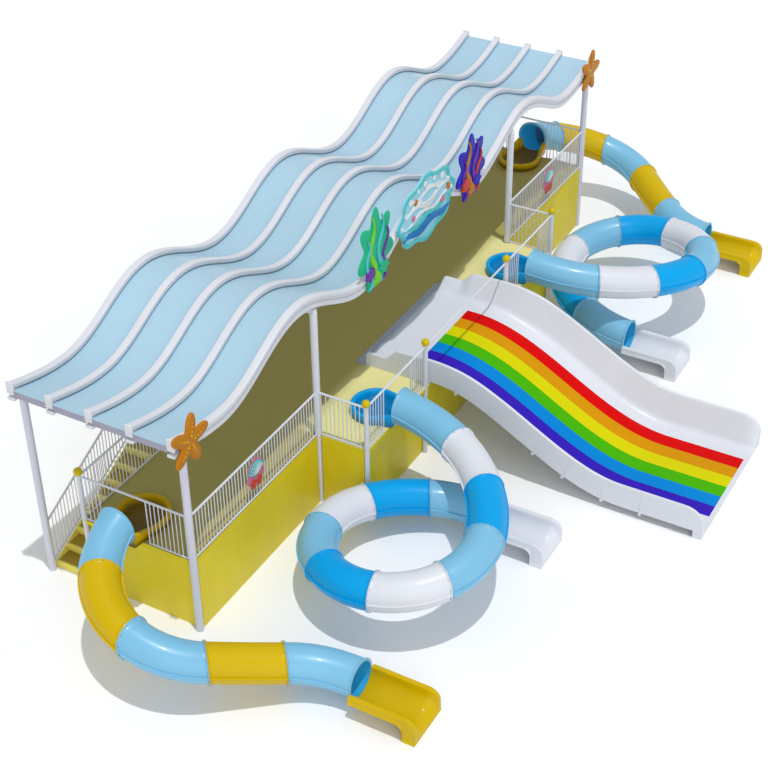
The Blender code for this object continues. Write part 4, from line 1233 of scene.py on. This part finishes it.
def build_coral(side, x, z, height, base, middle, accent, light):
    """A cut-out of seaweed and coral in several layers and four colours."""
    front = BOARD_FRONT
    plate_piece(f"coral_base_{side}", [lobed(x, z, 1.5, height, 7, 0.35, 160)], front + 0.045,
                BOARD_BACK, base, 0.015, [f"coral_panel_{side}"])
    foot = z - height * 0.42
    blades = [
        (-0.34, 0.62, -0.12, 0.17, middle), (-0.12, 0.86, -0.1, 0.19, light),
        (0.12, 0.8, 0.12, 0.18, middle), (0.34, 0.6, 0.16, 0.15, accent),
    ]
    for number, (offset, share, lean, width, colour) in enumerate(blades, 1):
        outline = frond(x + offset * 0.8, foot, height * share, lean, width)
        plate_piece(f"coral_blade_{side}_{number}", [outline], front + 0.016, front + 0.05, colour)
    clumps = [
        (-0.3, 0.1, 0.4, 0.34, accent), (0.26, 0.02, 0.44, 0.36, base), (0.0, -0.12, 0.36, 0.3, light),
    ]
    for index, (dx, dz, width, tall, colour) in enumerate(clumps):
        outline = lobed(x + dx, foot + 0.28 + dz, width, tall, 6, 0.28, 90, 0.4 * index)
        plate_piece(f"coral_clump_{side}_{index + 1}", [outline], front, front + 0.048, colour, 0.014)


def build_starfish(side):
    node = f"starfish_{side}"
    low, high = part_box(node)
    x, z, front = (low.x + high.x) / 2, STARFISH_Z, low.y
    tilt = radians(-12)
    plate_piece(f"{node}_dressed", [lobed(x, z, 1.15, 1.15, 5, 0.55, 140, tilt)], front + 0.012, high.y,
                "star_orange", 0.03, [node])
    plate_piece(f"starfish_ridge_{side}", [lobed(x, z, 0.86, 0.86, 5, 0.62, 140, tilt)],
                front + 0.002, front + 0.03, "star_orange", 0.009)
    work = bmesh.new()
    for arm in range(5):
        angle = pi / 2 + tilt + 2 * pi * arm / 5
        for reach, size in ((0.12, 0.022), (0.21, 0.019), (0.3, 0.016), (0.38, 0.012)):
            spot = (x + reach * cos(angle), front + 0.004, z + reach * sin(angle))
            ball(work, spot, size, 14, 8)
    piece(f"starfish_dots_{side}", work, "ball_yellow")


def build_shell_plaque(side):
    node = f"shell_plaque_{side}"
    low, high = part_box(node)
    x, z, front = (low.x + high.x) / 2, (low.z + high.z) / 2, low.y
    plate_piece(f"{node}_dressed", [lobed(x, z, 0.62, 0.78, 7, 0.16, 120)], front + 0.02, high.y,
                "plaque_pink", 0.008, [node])
    fan = [(x - 0.07, z - 0.04)]
    for index in range(61):
        angle = radians(160 - 140 * index / 60)
        reach = 0.3 + 0.014 * cos(angle * 18)
        fan.append((x + reach * cos(angle) * 0.9, z + reach * sin(angle)))
    fan.append((x + 0.07, z - 0.04))
    plate_piece(f"shell_fan_{side}", [fan], front + 0.006, front + 0.024, "board_aqua", 0.006)
    work = bmesh.new()
    for index in range(9):
        angle = radians(158 - 136 * index / 8)
        rod(work, (x + 0.03 * cos(angle), front + 0.006, z),
            (x + 0.27 * cos(angle) * 0.9, front + 0.006, z + 0.27 * sin(angle)), 0.008)
    piece(f"shell_ribs_{side}", work, "board_white")
    coral = [lobed(x + dx, z - 0.2 + dz, 0.2, 0.24, 5, 0.3, 60, dx)
             for dx, dz in ((-0.11, 0.0), (0.1, -0.02))]
    plate_piece(f"shell_coral_{side}", coral, front + 0.004, front + 0.024, "board_red", 0.006)


def build_decorations():
    build_sign()
    build_coral("left", -2.2, 5.1, 2.0, "coral_green", "board_aqua", "board_violet", "board_lime")
    build_coral("right", 2.2, 5.0, 1.7, "coral_purple", "board_violet", "board_red", "star_orange")
    for side, _ in SIDES:
        build_starfish(side)
        build_shell_plaque(side)


# Carried-over nodes of the model

def dress_plain_nodes():
    walls = ["back_wall", "platform_wall"]
    for side, _ in SIDES:
        walls += [f"front_wall_{side}", f"end_wall_{side}"]
    slots = {"deck": "deck_yellow", "chute_entry_ramp": "lip_grey", **dict.fromkeys(walls, "wall_yellow")}
    for name, slot in slots.items():
        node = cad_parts[name]
        node.data.materials.clear()
        node.data.materials.append(MATERIALS[slot])


# Studio

def build_studio():
    work = bmesh.new()
    bmesh.ops.create_grid(work, x_segments=1, y_segments=1, size=150)
    mesh = bpy.data.meshes.new("floor")
    work.to_mesh(mesh)
    work.free()
    floor = new_object("floor", mesh)
    floor.location.z = -0.002
    tree, shader = new_material("floor")
    tone = map_range(tree, noise(tree, 0.2), 0.3, 0.7, 0.0, 1.0)
    tree.links.new(mix_colour(tree, tone, (0.92, 0.92, 0.93), (0.95, 0.95, 0.955)),
                   shader.inputs["Base Color"])
    shader.inputs["Roughness"].default_value = 0.9
    mesh.materials.append(MATERIALS["floor"])

    for name, energy, spread_degrees, turn in (
        ("key", 1.6, 1.0, (9.7, -4.6, 0)),
        ("fill", 0.8, 60, (70, 0, -50)),
    ):
        light = bpy.data.lights.new(name, "SUN")
        light.energy = energy
        light.angle = radians(spread_degrees)
        new_object(name, light).rotation_euler = [radians(angle) for angle in turn]

    world = bpy.data.worlds.new("studio")
    world.use_nodes = True
    background = world.node_tree.nodes["Background"]
    background.inputs["Color"].default_value = (0.93, 0.96, 1.0, 1.0)
    background.inputs["Strength"].default_value = 0.56
    bpy.context.scene.world = world
    bpy.context.scene.view_settings.view_transform = "Standard"


def build_camera():
    azimuth, elevation, roll = (
        radians(angle) for angle in (CAMERA_AZIMUTH, CAMERA_ELEVATION, CAMERA_ROLL)
    )
    aim = Matrix.Rotation(azimuth, 4, "Z") @ Matrix.Rotation(pi / 2 - elevation, 4, "X")
    data = bpy.data.cameras.new("camera")
    data.sensor_width = SENSOR
    data.lens = FOCAL_PIXELS * SENSOR / IMAGE_SIDE
    data.clip_end = 500
    camera = new_object("camera", data)
    camera.matrix_world = Matrix.Translation(CAMERA_PLACE) @ aim @ Matrix.Rotation(roll, 4, "Z")
    bpy.context.scene.camera = camera


build_camera()
build_materials()
build_roof()
build_frames()
build_railings()
build_stairs()
build_tube_slides()
build_chute()
build_decorations()
dress_plain_nodes()
build_studio()
